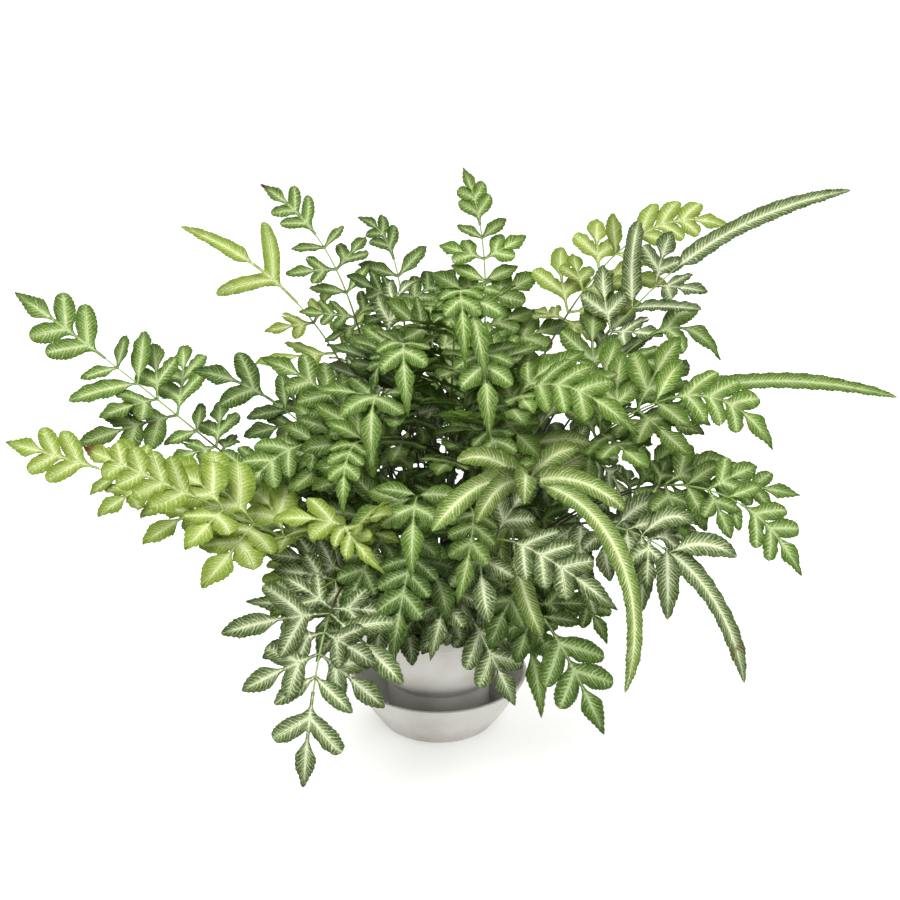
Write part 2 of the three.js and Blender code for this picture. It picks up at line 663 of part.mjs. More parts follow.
// ---------------------------------------------------------------------------------------- assembly
const fern = new THREE.Group();
fern.name = 'silver_brake_fern';

function place(name, geometry, finish) {
  const mesh = new THREE.Mesh(geometry, new THREE.MeshStandardMaterial(FINISH[finish]));
  mesh.name = name;
  fern.add(mesh);
}

place('saucer', geometryOf(makeSaucer()), 'plastic');
place('pot', geometryOf(makePot()), 'plastic');
place('soil', geometryOf(makeSoil()), 'soil');

const fronds = growFronds([...FRONDS, ...clumpRows()].map((row) => ({ ...LEAF, ...row })));
const crown = join([makeCrown(), ...fronds.map((frond) => frond.stalk)]);
place('crown_and_stalks', geometryOf(crown), 'stalk');
for (const frond of fronds) {
  const name = `frond_${String(frond.number + 1).padStart(2, '0')}`;
  place(name, frondSheet(frond).geometry(), frond.row.leaf);
}

export default fern;
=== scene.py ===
# %% [markdown]
# # A silver brake fern in its pot
#
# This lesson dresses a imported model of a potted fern. The model's solids are plain and faceted: a
# saucer, a pot, soil, a crown with dark stalks, and forty fronds. Each of them is replaced here by a
# fine piece that keeps its form and its place, and every surface gets a material made of nodes.
#
# The frame comes first, because every piece takes its place from it.

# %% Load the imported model
import itertools
import math
from types import SimpleNamespace as Facts

import bpy
import numpy as np
from mathutils.bvhtree import BVHTree
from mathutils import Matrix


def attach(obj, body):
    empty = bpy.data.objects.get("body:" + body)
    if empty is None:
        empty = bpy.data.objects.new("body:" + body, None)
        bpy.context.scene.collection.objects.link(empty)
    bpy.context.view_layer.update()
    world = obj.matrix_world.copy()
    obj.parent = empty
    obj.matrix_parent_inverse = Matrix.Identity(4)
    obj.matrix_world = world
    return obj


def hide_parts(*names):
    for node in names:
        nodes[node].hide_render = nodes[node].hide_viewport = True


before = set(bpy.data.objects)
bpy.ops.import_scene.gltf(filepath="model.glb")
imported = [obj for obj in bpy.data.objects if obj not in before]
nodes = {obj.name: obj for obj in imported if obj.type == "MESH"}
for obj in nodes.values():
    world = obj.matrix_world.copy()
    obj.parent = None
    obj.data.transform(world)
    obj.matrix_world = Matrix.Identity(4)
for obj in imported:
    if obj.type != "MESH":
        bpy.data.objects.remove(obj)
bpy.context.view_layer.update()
MM = 0.001

# %% [markdown]
# ## Camera, light and floor
#
# The plant is seen from the front and a little from above, at arm's length. The light is a wide soft
# box high on the left, a weaker one on the right, and a bright even sky, as in a small light tent. The
# floor is plain.

# %% Camera, light and floor
SIGHT = Facts(place=(0.0066, -0.750, 0.438), tilt=70, lens=58, film=36)
LAMPS = [
    # name, place, size, power
    ("key_light", (-0.45, -0.65, 1.35), 0.8, 19),
    ("fill_light", (0.95, -0.75, 0.75), 0.8, 5),
    ("back_light", (0.15, 1.0, 1.0), 0.9, 6),
]
LAMPS_AIM = 0.15
SKY = 0.95


def placed(name, data, at=(0, 0, 0)):
    """Puts a camera, a lamp or a mesh in the scene."""
    thing = bpy.data.objects.new(name, data)
    thing.location = at
    bpy.context.scene.collection.objects.link(thing)
    return thing


camera_data = bpy.data.cameras.new("camera")
camera_data.sensor_width = SIGHT.film
camera_data.lens = SIGHT.lens
camera = placed("camera", camera_data, SIGHT.place)
camera.rotation_euler = (math.radians(SIGHT.tilt), 0, 0)
bpy.context.scene.camera = camera

for name, place, size, power in LAMPS:
    light = bpy.data.lights.new(name, "AREA")
    light.size = size
    light.energy = power
    lamp = placed(name, light, place)
    aim = -lamp.location.copy()
    aim.z += LAMPS_AIM
    lamp.rotation_euler = aim.to_track_quat("-Z", "Y").to_euler()

world = bpy.data.worlds.new("studio")
world.use_nodes = True
world.node_tree.nodes["Background"].inputs["Color"].default_value = (1.0, 1.0, 1.0, 1)
world.node_tree.nodes["Background"].inputs["Strength"].default_value = SKY
bpy.context.scene.world = world
bpy.context.scene.view_settings.view_transform = "Standard"
print("camera at", SIGHT.place, "and", len(LAMPS), "lamps")

# %% [markdown]
# ## Node trees in few words
#
# Materials and Geometry Nodes trees are both made of nodes and links. One small helper adds a node,
# sets its options and fills its inputs: a socket given as a value is linked, and anything else is typed
# in. What a socket gives can be reckoned with by the common signs, and each sign adds a maths node.

# %% A helper for node trees
FAMILIES = {"ShaderNodeTree": "ShaderNode", "GeometryNodeTree": "GeometryNode"}


class Value:
    """What a socket gives. Its signs are added below."""
    def __init__(self, socket):
        self.socket, self.tree = socket, socket.id_data

    def remap(self, low, high, to_low=0.0, to_high=1.0):
        """Eases from one pair of ends to another, and stays at the ends beyond them."""
        ends = {"Value": self, "From Min": low, "From Max": high, "To Min": to_low, "To Max": to_high}
        node = add(self.tree, "MapRange", ends, interpolation_type="SMOOTHSTEP")
        return Value(node.outputs[0])


def fill(tree, socket, value):
    """Links a value that a socket gives, or types any other value in."""
    value = getattr(value, "socket", value)
    if isinstance(value, bpy.types.NodeSocket):
        tree.links.new(value, socket)
    else:
        socket.default_value = value


def add(tree, kind, inputs=None, **options):
    """Adds a node. Its kind may leave out the family that the tree belongs to."""
    node = tree.nodes.new(kind if "Node" in kind else FAMILIES[tree.bl_idname] + kind)
    for key, value in options.items():
        setattr(node, key, value)
    for key, value in (inputs or {}).items():
        fill(tree, node.inputs[key], value)
    return node


def maths(tree, operation, *values, clamp=False):
    inputs = dict(enumerate(values))
    return Value(add(tree, "ShaderNodeMath", inputs, operation=operation, use_clamp=clamp).outputs[0])


def height_of(tree, place):
    return Value(add(tree, "ShaderNodeSeparateXYZ", {0: place}).outputs["Z"])


SIGNS = dict(add="ADD", sub="SUBTRACT", mul="MULTIPLY", truediv="DIVIDE", pow="POWER", gt="GREATER_THAN")
for sign, operation in SIGNS.items():
    setattr(Value, f"__{sign}__", lambda a, b, name=operation: maths(a.tree, name, a, b))
    setattr(Value, f"__r{sign}__", lambda a, b, name=operation: maths(a.tree, name, b, a))


def values_of(outputs):
    return {socket.name: Value(socket) for socket in outputs}


def srgb(red, green, blue):
    """A colour given as it looks, 0 to 255, as the linear colour that a shader takes."""
    return tuple(((v / 255 + 0.055) / 1.055) ** 2.4 for v in (red, green, blue)) + (1.0,)


def new_group(name, kind, inputs, outputs):
    """A tree with its sockets: the values that its inputs give, and its outputs to be filled."""
    tree = bpy.data.node_groups.new(name, kind)
    for label, socket, value in inputs:
        made = tree.interface.new_socket(label, in_out="INPUT", socket_type="NodeSocket" + socket)
        if value is not None:
            made.default_value = value
    for label, socket in outputs:
        tree.interface.new_socket(label, in_out="OUTPUT", socket_type="NodeSocket" + socket)
    return tree, values_of(add(tree, "NodeGroupInput").outputs), add(tree, "NodeGroupOutput").inputs


print("signs that add a maths node:", ", ".join(SIGNS))

# %% [markdown]
# ## The fronds, row by row
#
# A frond's midrib is a smooth way through four points: its foot on the crown, the points at one and two
# thirds, and its tip, all in millimetres. `blade` is the share of that way where the dark stalk ends
# and the leaf begins, and `end` the share where the end piece begins. `pinnae` are the lengths of the
# pairs of side leaves, `lobes` the pairs of side lobes on each, and `end_lobes` those of the end piece.
# `fat` widens the lobes, `lean` is the angle between a side leaf and the midrib, and `sag` how far a
# side leaf arches down. `withered` is the share of the end piece that is still green where its tip has
# dried, and `scar` the place of a dry band. `leaflets` are single small leaves: share, side, length,
# lobes and lean. `fingers` are leaves drawn from a share of the way to their tips. They are the same
# rows that the solids were grown from, so a fine frond lies where its solid lies.

# %% The rows of the fronds
LEAF = dict(fat=1.0, lean=56.0, sag=28.0, end_lobes=3, withered=2.0, scar=-1.0, leaflets=[], fingers=[])


def row(leaf, path, blade, end, pinnae, lobes, **more):
    points = [np.array(point, float) for point in path]
    given = dict(leaf=leaf, path=points, blade=blade, end=end, pinnae=pinnae, lobes=lobes)
    return Facts(**{**LEAF, **given, **more})


HAND = [(0.42, (-2, -111, 164)), (0.42, (19, -110, 168)), (0.42, (41, -91, 168)), (0.42, (10, -79, 188)),
        (0.42, (27, -64, 188)), (0.42, (72, -59, 187)), (0.42, (95, -82, 162))]
SPRAY = [(0.68, (143, -119, 154)), (0.67, (110, -129, 126)), (0.6, (99, -119, 125)), (0.6, (125, -94, 160)),
         (0.53, (114, -78, 166))]

ROWS = [
    # left side, reaching far out
    row("mid", [(-83, 0, 131), (-154, 5, 193), (-230, 20, 249)], 0.5, 0.79, [34, 58, 36], [1, 2, 0],
        end_lobes=2, lean=62),
    row("young", [(-78, -45, 128), (-152, -60, 169), (-218, -60, 191)], 0.5, 0.76, [42, 32], [1, 1],
        end_lobes=2),
    row("young", [(-57, -45, 119), (-117, -85, 170), (-168, -100, 203)], 0.36, 0.66, [66, 62], [2, 2],
        end_lobes=4, sag=50, withered=0.88, fat=1.25),
    # upper left
    row("young", [(-31, 30, 148), (-71, 50, 224), (-145, 60, 277)], 0.56, 0.72, [48], [1],
        end_lobes=1, lean=66, fat=0.8),
    row("mid", [(-31, 35, 158), (-53, 60, 240), (-101, 75, 298)], 0.58, 0.82, [36, 30], [2, 1],
        end_lobes=2, lean=66, withered=0.9, fat=0.85),
    row("dark", [(-16, 35, 158), (-22, 70, 238), (-47, 85, 277)], 0.6, 0.76, [40], [2], end_lobes=2),
    row("silver", [(-16, 20, 140), (-28, 30, 214), (-9, 45, 250)], 0.56, 0.7, [42], [2], end_lobes=2),
    # top
    row("fresh", [(18, 35, 146), (27, 65, 233), (14, 90, 305)], 0.54, 0.84, [52, 36, 27], [2, 1, 1],
        end_lobes=2, lean=62, fat=1.2),
    # upper right
    row("young", [(38, 35, 158), (92, 60, 252), (166, 60, 275)], 0.55, 0.74, [48, 38], [1, 1]),
    row("silver", [(60, 20, 170), (123, 20, 257), (215, 5, 307)], 0.46, 0.68, [60, 54], [1, 0],
        end_lobes=0, lean=50, fat=0.95, leaflets=[(0.83, -1, 15, 0, 45)]),
    row("mid", [(51, 5, 145), (103, 0, 222), (151, -5, 218)], 0.53, 0.72, [50], [1], end_lobes=1),
    # right side
    row("mid", [(67, -10, 157), (139, -20, 206), (243, -20, 202)], 0.5, 0.64, [50], [2],
        end_lobes=0, fat=0.9),
    row("fresh", [(60, -25, 157), (118, -50, 211), (170, -60, 187)], 0.46, 0.66, [56, 44], [2, 1]),
    row("mid", [(61, -30, 130), (115, -50, 163), (186, -60, 162)], 0.58, 0.78, [38, 34], [1, 1]),
    row("mid", [(65, -40, 140), (127, -75, 173), (182, -90, 131)], 0.58, 0.8, [40, 32], [1, 1],
        end_lobes=2),
    # front right
    row("pale", [(33, -45, 159), (78, -115, 169), (90, -140, 93)], 0.36, 0.46, [78], [1],
        end_lobes=0, sag=60, fingers=HAND),
    row("silver", [(56, -50, 139), (111, -105, 152), (151, -120, 87)], 0.42, 0.66, [54, 46], [0, 0],
        end_lobes=0, sag=80, scar=0.8, fingers=SPRAY),
    row("dark", [(27, -60, 123), (56, -100, 108), (82, -130, 64)], 0.48, 0.66, [40, 30], [1, 1],
        end_lobes=2),
    # front
    row("silver", [(4, -55, 112), (21, -85, 98), (40, -95, 60)], 0.36, 0.6, [48, 36], [1, 1],
        end_lobes=2),
    row("silver", [(-40, -70, 125), (-55, -135, 113), (-64, -150, 47)], 0.54, 0.77, [52, 38], [1, 1],
        end_lobes=1, fat=0.9, withered=0.96),
    row("silver", [(-33, -60, 120), (-50, -100, 127), (-86, -120, 129)], 0.46, 0.66, [46], [2],
        end_lobes=2),
    row("young", [(-27, -60, 126), (-45, -90, 158), (-25, -110, 141)], 0.56, 0.7, [38], [1], end_lobes=2),
    row("silver", [(14, -60, 132), (41, -95, 150), (88, -115, 124)], 0.44, 0.62, [46, 40], [1, 1]),
    # middle
    row("fresh", [(18, -10, 139), (42, -45, 211), (100, -75, 200)], 0.52, 0.7, [58, 46], [2, 1]),
    row("mid", [(-21, -10, 127), (-44, -20, 186), (-93, -20, 224)], 0.5, 0.68, [56, 46], [2, 1]),
    row("dark", [(-40, 5, 135), (-85, 8, 186), (-134, 5, 209)], 0.46, 0.7, [50, 40], [2, 1], end_lobes=1),
    row("mid", [(-38, -12, 125), (-80, -18, 160), (-128, -22, 158)], 0.46, 0.68, [50, 42], [1, 1]),
    row("dark", [(-12, -42, 125), (-26, -78, 146), (-48, -112, 112)], 0.44, 0.64, [50, 42], [1, 1]),
    row("mid", [(10, -38, 135), (18, -72, 158), (10, -112, 126)], 0.44, 0.64, [50, 42], [1, 1]),
]

print("placed by hand", len(ROWS))

# %% [markdown]
# The rest of the clump follows a rule: each frond stands 137.5 degrees round from the last, and they go
# from tall inner ones to low outer ones.

# %% The rest of the clump
CLUMP = Facts(count=11, start=100, turn=137.5, back=15, reach=(38, 140), top=(236, 128), dip=(8, 50),
              foot=66)
CLUMP_LEAVES = ["mid", "dark", "fresh", "silver"]


def between(ends, share):
    return ends[0] + (ends[1] - ends[0]) * share


def clump_row(i, rule=CLUMP):
    share = (i + 0.5) / rule.count
    even = math.radians(rule.start + i * rule.turn)
    angle = even + math.radians(rule.back) * math.cos(even)
    reach = between(rule.reach, share)
    top = between(rule.top, share)

    def at(out, up):
        return (reach * out * math.cos(angle), reach * out * math.sin(angle), up)

    path = [at(0.32, between((rule.foot, top), 0.62)), at(0.68, top),
            at(1, top - between(rule.dip, share))]
    return row(CLUMP_LEAVES[i % 4], path, 0.46, 0.68, [52, 42], [2 - i % 2, 1], end_lobes=2 + i % 2)


ROWS += [clump_row(i) for i in range(CLUMP.count)]
print("fronds", len(ROWS))

# %% [markdown]
# ## Ways and ribs
#
# A way is a cubic curve. At each share of it there is a small frame: the tangent, the side and the
# normal of the leaf's upper face. Ribs are curves of the leaves themselves, measured in millimetres
# from their root. The rib of an end piece follows the frond's own way, and the rib of a side leaf is a
# circular arc that droops.

# %% Ways and ribs
UP = np.array([0.0, 0.0, 1.0])
TO_LIGHT = math.radians(45)
CROWN_TOP, CROWN_SPREAD, FULLY_SPREAD_AT = 71.0, 10.0, 70
FOOT_SUNK = 3
# where leaves face: shares of up, of the window, and of outwards, which counts more low at the back
SKYWARD, WINDOW, OUTWARD, OUTWARD_AT_BACK = 0.6, np.array([0, -0.7, 0]), 0.35, 0.3
BACK, HIGH, EASE = 10, 230, 40


def smooth(x):
    x = np.clip(x, 0, 1)
    return x * x * (3 - 2 * x)


def unit(vectors):
    return vectors / np.linalg.norm(vectors, axis=-1, keepdims=True)


def level(vector):
    return unit(vector * (1, 1, 0))


class Way:
    """A frond's own curve, swayed aside by some millimetres at its tip."""
    def __init__(self, plan, sway):
        b, c, d = [point.copy() for point in plan.path]
        azimuth = math.atan2(b[1], b[0])
        reach = min(1, math.hypot(b[0], b[1]) / FULLY_SPREAD_AT) * CROWN_SPREAD
        a = np.array([reach * math.cos(azimuth), reach * math.sin(azimuth), CROWN_TOP - FOOT_SUNK])
        aside = np.cross(level(d - a), UP)
        b += aside * sway / 2
        c += aside * sway
        d += aside * sway
        self.controls = (a, (-5 * a + 18 * b - 9 * c + 2 * d) / 6, (2 * a - 9 * b + 18 * c - 5 * d) / 6, d)
        outward = level(d - a)
        self.right = np.cross(outward, UP)
        self.roll = TO_LIGHT * outward[0]

    def at(self, t):
        t = np.atleast_1d(t)[:, None]
        a, b, c, d = self.controls
        return (1 - t) ** 3 * a + 3 * (1 - t) ** 2 * t * b + 3 * (1 - t) * t ** 2 * c + t ** 3 * d

    def frame(self, t):
        t = np.atleast_1d(t)[:, None]
        a, b, c, d = self.controls
        tangent = unit((1 - t) ** 2 * (b - a) + 2 * t * (1 - t) * (c - b) + t ** 2 * (d - c))
        side = unit(self.right - (tangent @ self.right)[:, None] * tangent)
        turn = self.roll * t
        side = side * np.cos(turn) + np.cross(tangent, side) * np.sin(turn)
        return self.at(t[:, 0]), tangent, side, np.cross(side, tangent)


def to_light(place):
    """Where a leaf at this place likes to face: up, out of the clump, and to the window in front."""
    low_at_back = smooth((place[1] - BACK) / EASE) * smooth((HIGH - place[2]) / EASE)
    window = WINDOW * (1 - low_at_back)
    return unit(SKYWARD * UP + window + (OUTWARD + OUTWARD_AT_BACK * low_at_back) * level(place))


def bow(t, start, control, end):
    """The place at `t` on a bow from start to end that leans towards its control point."""
    return (1 - t) ** 2 * start + 2 * t * (1 - t) * control + t ** 2 * end


print("facing the light at the crown:", to_light(np.array([0.0, -1.0, CROWN_TOP])).round(2))

# %% [markdown]
# A rib is asked for its frames at lengths `s` from its root. `turn_to_light` works out once how far the
# blade should turn about its rib, and the turn grows in over the first quarter of the leaf, so its foot
# stays put.

# %% Ribs of end pieces, side leaves and fingers
class Rib:
    """What all ribs share: the blade may be turned about its rib, so that it faces the light."""
    turn = 0.0
    asked_at, turns_by = 0.55, 4

    def turn_to_light(self, share=0.85, most=math.radians(58)):
        place, _, aside, normal = [part[0] for part in self.straight(self.asked_at * self.length)]
        wish = to_light(place)
        self.turn = float(np.clip(share * math.atan2(-wish @ aside, wish @ normal), -most, most))
        return self

    def frame(self, s):
        place, tangent, aside, normal = self.straight(s)
        angle = self.turn * smooth(self.turns_by * np.atleast_1d(s) / self.length)[:, None]
        cos, sin = np.cos(angle), np.sin(angle)
        return place, tangent, aside * cos + normal * sin, normal * cos - aside * sin


class EndRib(Rib):
    """The rib of an end piece: the last stretch of the frond's way."""
    def __init__(self, way, start):
        self.way, self.start = way, start
        points = way.at(np.array([start, (start + 1) / 2, 1]))
        self.length = np.linalg.norm(np.diff(points, axis=0), axis=1).sum()

    def straight(self, s):
        return self.way.frame(self.start + (1 - self.start) * np.atleast_1d(s) / self.length)


class SideRib(Rib):
    """An arc that leaves the midrib at an angle, raised by `lift`, and droops by `sag` in all."""
    def __init__(self, root, side, length, lean, sag, lift):
        place, tangent, aside, normal = [part[0] for part in root]
        flat = tangent * math.cos(lean) + aside * side * math.sin(lean)
        self.place, self.length, self.bend = place, length, sag / length
        self.along = flat * math.cos(lift) + normal * math.sin(lift)
        self.up = normal * math.cos(lift) - flat * math.sin(lift)

    def straight(self, s):
        angle = (self.bend * np.atleast_1d(s))[:, None]
        forward, down = np.sin(angle) / self.bend, (1 - np.cos(angle)) / self.bend
        tangent = self.along * np.cos(angle) - self.up * np.sin(angle)
        normal = self.up * np.cos(angle) + self.along * np.sin(angle)
        aside = np.broadcast_to(np.cross(self.along, self.up), tangent.shape)
        return self.place + self.along * forward - self.up * down, tangent, aside, normal


class FingerRib(Rib):
    """A leaf drawn from its root to its tip, arched upwards, with its face to the light."""
    longer = 1.06

    def __init__(self, root, tip, arch):
        self.root, self.tip = root, tip
        self.length = float(np.linalg.norm(tip - root)) * self.longer
        self.middle = (root + tip) / 2 + UP * 2 * arch * self.length
        self.wish = to_light((root + tip) / 2)

    def straight(self, s):
        t = (np.atleast_1d(s) / self.length)[:, None]
        place = bow(t, self.root, self.middle, self.tip)
        tangent = unit((1 - t) * (self.middle - self.root) + t * (self.tip - self.middle))
        aside = unit(np.cross(tangent, self.wish))
        return place, tangent, aside, np.cross(aside, tangent)


print("ribs:", ", ".join(kind.__name__ for kind in (EndRib, SideRib, FingerRib)))

# %% [markdown]
# The plant's solids were bent clear of each other: a frond may have swayed aside, and a side leaf may
# have been raised or lowered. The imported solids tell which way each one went. The script tries the same
# few choices and keeps the one whose tip is a corner of the solid. A side leaf with no such corner
# found no room and didn't grow. Small differences from leaf to leaf come from `scatter`. The sums that
# it is given have only to differ, so that no two leaves and no two uses share a draw.

# %% Find how each frond was bent
SWAYS = [0, 4, -4, 8, -8, 13, -13, 18, -18, 24, -24]
LIFTS = [6, -6, 18, -20, 32, -34, 46, -48, 62, -62]
HALF_BLADE = 0.35
SAME = 0.05


def scatter(seed):
    """A steady scatter between -1 and 1 for each number."""
    wave = math.sin(seed * 12.9898) * 43758.5453
    return 2 * (wave - math.floor(wave)) - 1


def corners(node):
    mesh = nodes[node].data
    places = np.zeros(len(mesh.vertices) * 3, np.float32)
    mesh.vertices.foreach_get("co", places)
    return places.reshape(-1, 3) / MM


def tip_is_there(rib, places):
    point, _, _, normal = [part[0] for part in rib.frame(rib.length)]
    return np.linalg.norm(places - point - HALF_BLADE * normal, axis=1).min() < SAME


def side_places(plan, number):
    """Each side leaf of a frond: share of the way, side, full length, lobes, and a number of its own."""
    step = (plan.end - plan.blade) / len(plan.pinnae)
    for pair, (full, lobes) in enumerate(zip(plan.pinnae, plan.lobes)):
        for side in (-1, 1):
            share = plan.blade + (pair + 0.1) * step + 0.01
            yield share, side, full, lobes, 31 * number + 7 * pair + side


def side_ribs(plan, way, number, places):
    found = []
    for share, side, full, lobes, seed in side_places(plan, number):
        length = full * (1 + 0.08 * scatter(seed))
        lean = math.radians(plan.lean + 7 * scatter(seed + 100))
        sag = math.radians(plan.sag * (1 + 0.3 * scatter(seed + 200)))
        for lift in LIFTS:
            raised = math.radians(lift + 4 * scatter(seed + 300))
            rib = SideRib(way.frame(share), side, length, lean, sag, raised)
            if tip_is_there(rib, places):
                found.append((rib.turn_to_light(), lobes, seed, share))
                break
    return found


fronds = []
for number, plan in enumerate(ROWS):
    name = f"frond_{number + 1:02d}"
    places = corners(name)
    for sway in SWAYS:
        way = Way(plan, sway)
        end_rib = EndRib(way, plan.end)
        if tip_is_there(end_rib, places):
            break
    else:
        raise ValueError(f"{name} lies nowhere that a row puts it")
    fronds.append(Facts(name=name, plan=plan, way=way, end=end_rib.turn_to_light(), number=number,
                        sides=side_ribs(plan, way, number, places)))
print("side leaves", sum(len(frond.sides) for frond in fronds))

# %% [markdown]
# ## The outline of a leaf
#
# A leaf is planned flat: `s` runs along its rib and `w` across it, in millimetres. Side lobes slant
# forward at 48 degrees, in pairs cut almost to the rib, and the end lobe takes the rest. Each lobe has
# two halves. A half lies between an inner line, its rib, and an outer line, its toothed edge. Rows run
# from one to the other as the veins do, and every second row ends in a tooth.

# %% Plan the halves of each lobe
SLANT = math.radians(48)
LOBED = [(0.06, 0.06, 0), (0.12, 0.46, 0.44), (0.1, 0.58, 0.38), (0.08, 0.66, 0.32), (0.07, 0.72, 0.28)]
WING = 0.8
VEIN = 2.55
TOOTH, TOOTH_LEAN, TEETH_FADE = 0.42, 0.35, 5
BLUNT = 0.14
BROAD = 1.2
WEB = (5.5, 7.5)
WAVE, WAVE_DEPTH, WAVE_START = 26, 0.14, 0.42
# how a lobe's end is drawn: the length of its tip in half widths, and how much it narrows
POINTED, BLUNTED = (2.2, 0.55), (1.5, 0.2)
SHORTER_AHEAD = 0.12
# half widths: as a share of the lobes' pitch or of the leaf, and the limits in millimetres
LOBE_WIDE, LOBE_WIDEST = 0.35, 5
END_WIDE, END_NARROWEST, END_WIDEST, PLAIN_WIDE = 0.42, 3.2, 5.2, 0.17
LEAST = 0.2


def rows_for(length):
    """Rows for a stretch of leaf: two for each vein, from an even row to an even row."""
    return 2 * max(3, round(length / VEIN)) + 1


def toothed(axial, lateral, far):
    """Pushes every second point of an edge out and forward, into fine teeth that fade at the tip."""
    count = len(axial)
    teeth = (np.arange(count) % 2 == 0) * np.minimum(1, np.arange(count) / 3)
    fade = smooth((far - axial) / TEETH_FADE)
    step = np.gradient(axial)
    out = TOOTH * (teeth - 0.5) * fade * np.minimum(1, lateral)
    return axial + TOOTH_LEAN * step * teeth * fade, lateral + out


def lobe_edge(count, start, length, half, forward):
    """The edge of half a lobe, along and across its rib: widest beyond its middle, round at the tip."""
    q = np.linspace(0, 1, count)
    e = q + forward * np.sin(math.pi * q)
    axial = start[0] + (length - start[0]) * e
    share = np.clip(axial / length, 0, 1)
    full = half * np.sin(math.pi * np.maximum(share, 1e-6) ** 0.92).clip(0) ** 0.42
    ease = smooth(e / 0.35)
    lateral = np.maximum(start[1] * (1 - ease) + full * ease, BLUNT)
    return toothed(axial, lateral, length)


def side_lobe(lobe_from, length, half, notches, mirror):
    """The two halves of a side lobe: lines of (s, w), and -1 for the half towards the leaf's base."""
    cos, sin = math.cos(SLANT), math.sin(SLANT)
    halves = []
    for side, notch in ((-1, notches[0]), (1, notches[1])):
        back = np.array([notch - lobe_from, WING])
        start = (back[0] * cos + back[1] * sin, side * (back[0] * sin - back[1] * cos))
        base = abs(notch - lobe_from)
        count = rows_for(length + 0.5 * base)
        axial, lateral = lobe_edge(count, start, length, half, 0.1 if side < 0 else 0.02)
        outer = np.stack([lobe_from + cos * axial + side * sin * lateral,
                          sin * axial - side * cos * lateral], 1)
        outer[0] = (notch, WING)
        path = np.linspace(0, base + length, count)
        on_rib = np.maximum(base - path, 0)
        along = np.maximum(path - base, 0)
        inner = np.stack([lobe_from + np.sign(notch - lobe_from) * on_rib + cos * along, sin * along], 1)
        halves.append((inner * (1, mirror), outer * (1, mirror), along / length, side))
    return halves


def end_lobe(start, length, half, mirror, pointed):
    """One half of the end lobe. Its edge waves where it is long."""
    tip_length, narrows = POINTED if pointed else BLUNTED
    rest = length - start
    waves = max(1, round(rest / WAVE))
    count = rows_for(rest)
    inner_s = np.linspace(0, rest, count)
    x = np.linspace(0, 1, count)
    ahead = 0.8 * half * smooth(x / 0.15) * smooth((1 - x) / 0.2)
    axial = np.minimum(inner_s + ahead, rest)
    share = axial / rest
    shoulder = smooth(share * rest / (1.6 * half)) if waves > 1 else smooth(share / 0.4)
    tip = np.minimum(1, (1 - share) * rest / (tip_length * half)) ** 0.55
    wavy = 1 - WAVE_DEPTH * np.sin(math.pi / 2 * (share * waves - WAVE_START)) ** 2
    full = half * (1 - narrows * share ** 2) * wavy * tip
    lateral = np.maximum(WING * (1 - shoulder) + full * shoulder, BLUNT)
    axial, lateral = toothed(axial, lateral, rest)
    inner = np.stack([start + inner_s, np.zeros(count)], 1)
    outer = np.stack([start + axial, mirror * lateral], 1)
    outer[0] = (start, mirror * WING)
    return inner, outer, x, 0


def strip(start, end, mirror):
    """The narrow wing of leaf along a rib between two lobes."""
    line = np.stack([np.linspace(start, end, 3), np.zeros(3)], 1)
    return line, line + (0, mirror * WING), np.zeros(3), 0


print("rows in a stretch of 20 and of 60 mm:", rows_for(20), rows_for(60))

# %% [markdown]
# A whole leaf is a number of pairs of side lobes and an end lobe, with a narrow wing of leaf along the
# rib between them. `LOBED` gives, for each number of pairs, the share of the leaf's length where the
# first pair begins, where the last one ends, and how long the first side lobe is.

# %% Put a whole leaf together
def leaf_halves(length, pairs, fat, pointed=False):
    """All halves of a leaf's lobes, each as (inner line, outer line, share along, side), and its ribs."""
    first, last, long = [share * length for share in LOBED[pairs]]
    pitch = (last - first) / pairs if pairs else 0
    stem = 0.7 * first
    halves, ribs = [], [np.array([(0, 0), (length, 0)], float)]
    for mirror in (-1, 1):
        reached = 0
        for i in range(pairs):
            lobe_from = first + (i + 0.4) * pitch
            lobe_length = long * (1 - SHORTER_AHEAD * i)
            half = min(LOBE_WIDE * pitch, LOBE_WIDEST) * fat * BROAD
            notches = (max(stem if i == 0 else reached, lobe_from - WEB[0]),
                       min(first + (i + 1) * pitch, lobe_from + WEB[1]))
            if notches[0] - reached > LEAST:
                halves.append(strip(reached, notches[0], mirror))
            halves += side_lobe(lobe_from, lobe_length, half, notches, mirror)
            reached = notches[1]
            tip = (lobe_from + math.cos(SLANT) * lobe_length, mirror * math.sin(SLANT) * lobe_length)
            ribs.append(np.array([(lobe_from, 0), tip]))
        begin = last if pairs else stem
        if begin - reached > LEAST:
            halves.append(strip(reached, begin, mirror))
        wide = max(END_WIDE * pitch, END_NARROWEST) if pairs else PLAIN_WIDE * length
        end_half = fat * min(wide, END_WIDEST) * BROAD
        halves.append(end_lobe(max(begin, reached), length, end_half, mirror, pointed))
    return halves, ribs


print("halves in a leaf of 60 mm, by pairs:", [len(leaf_halves(60, pairs, 1)[0]) for pairs in range(5)])

# %% [markdown]
# ## Small leaves that the solids leave out
#
# Forty solids give the plant its main shape. The living one is fuller: the lowest pair of side leaves
# is forked, small leaves grow between the large ones, and young fronds fill the middle of the clump.
# They grow here by the same rules. Each tries the same few lifts, and a tree of boxes round all the
# leaves that are there tells whether it touches one. A leaf that finds no room doesn't grow.

# %% Leaves between the large ones
FOLD, CURL = 0.22, 0.012
EVERY = 4
STRETCHES = 20
FINGERS_OUT, FINGER_ARCHES = (0, 4, 8, 12, 16, 22), (0.16, 0.24, 0.08, 0.3)
SMALL_LEAF = 0.62
ROOMY = 13


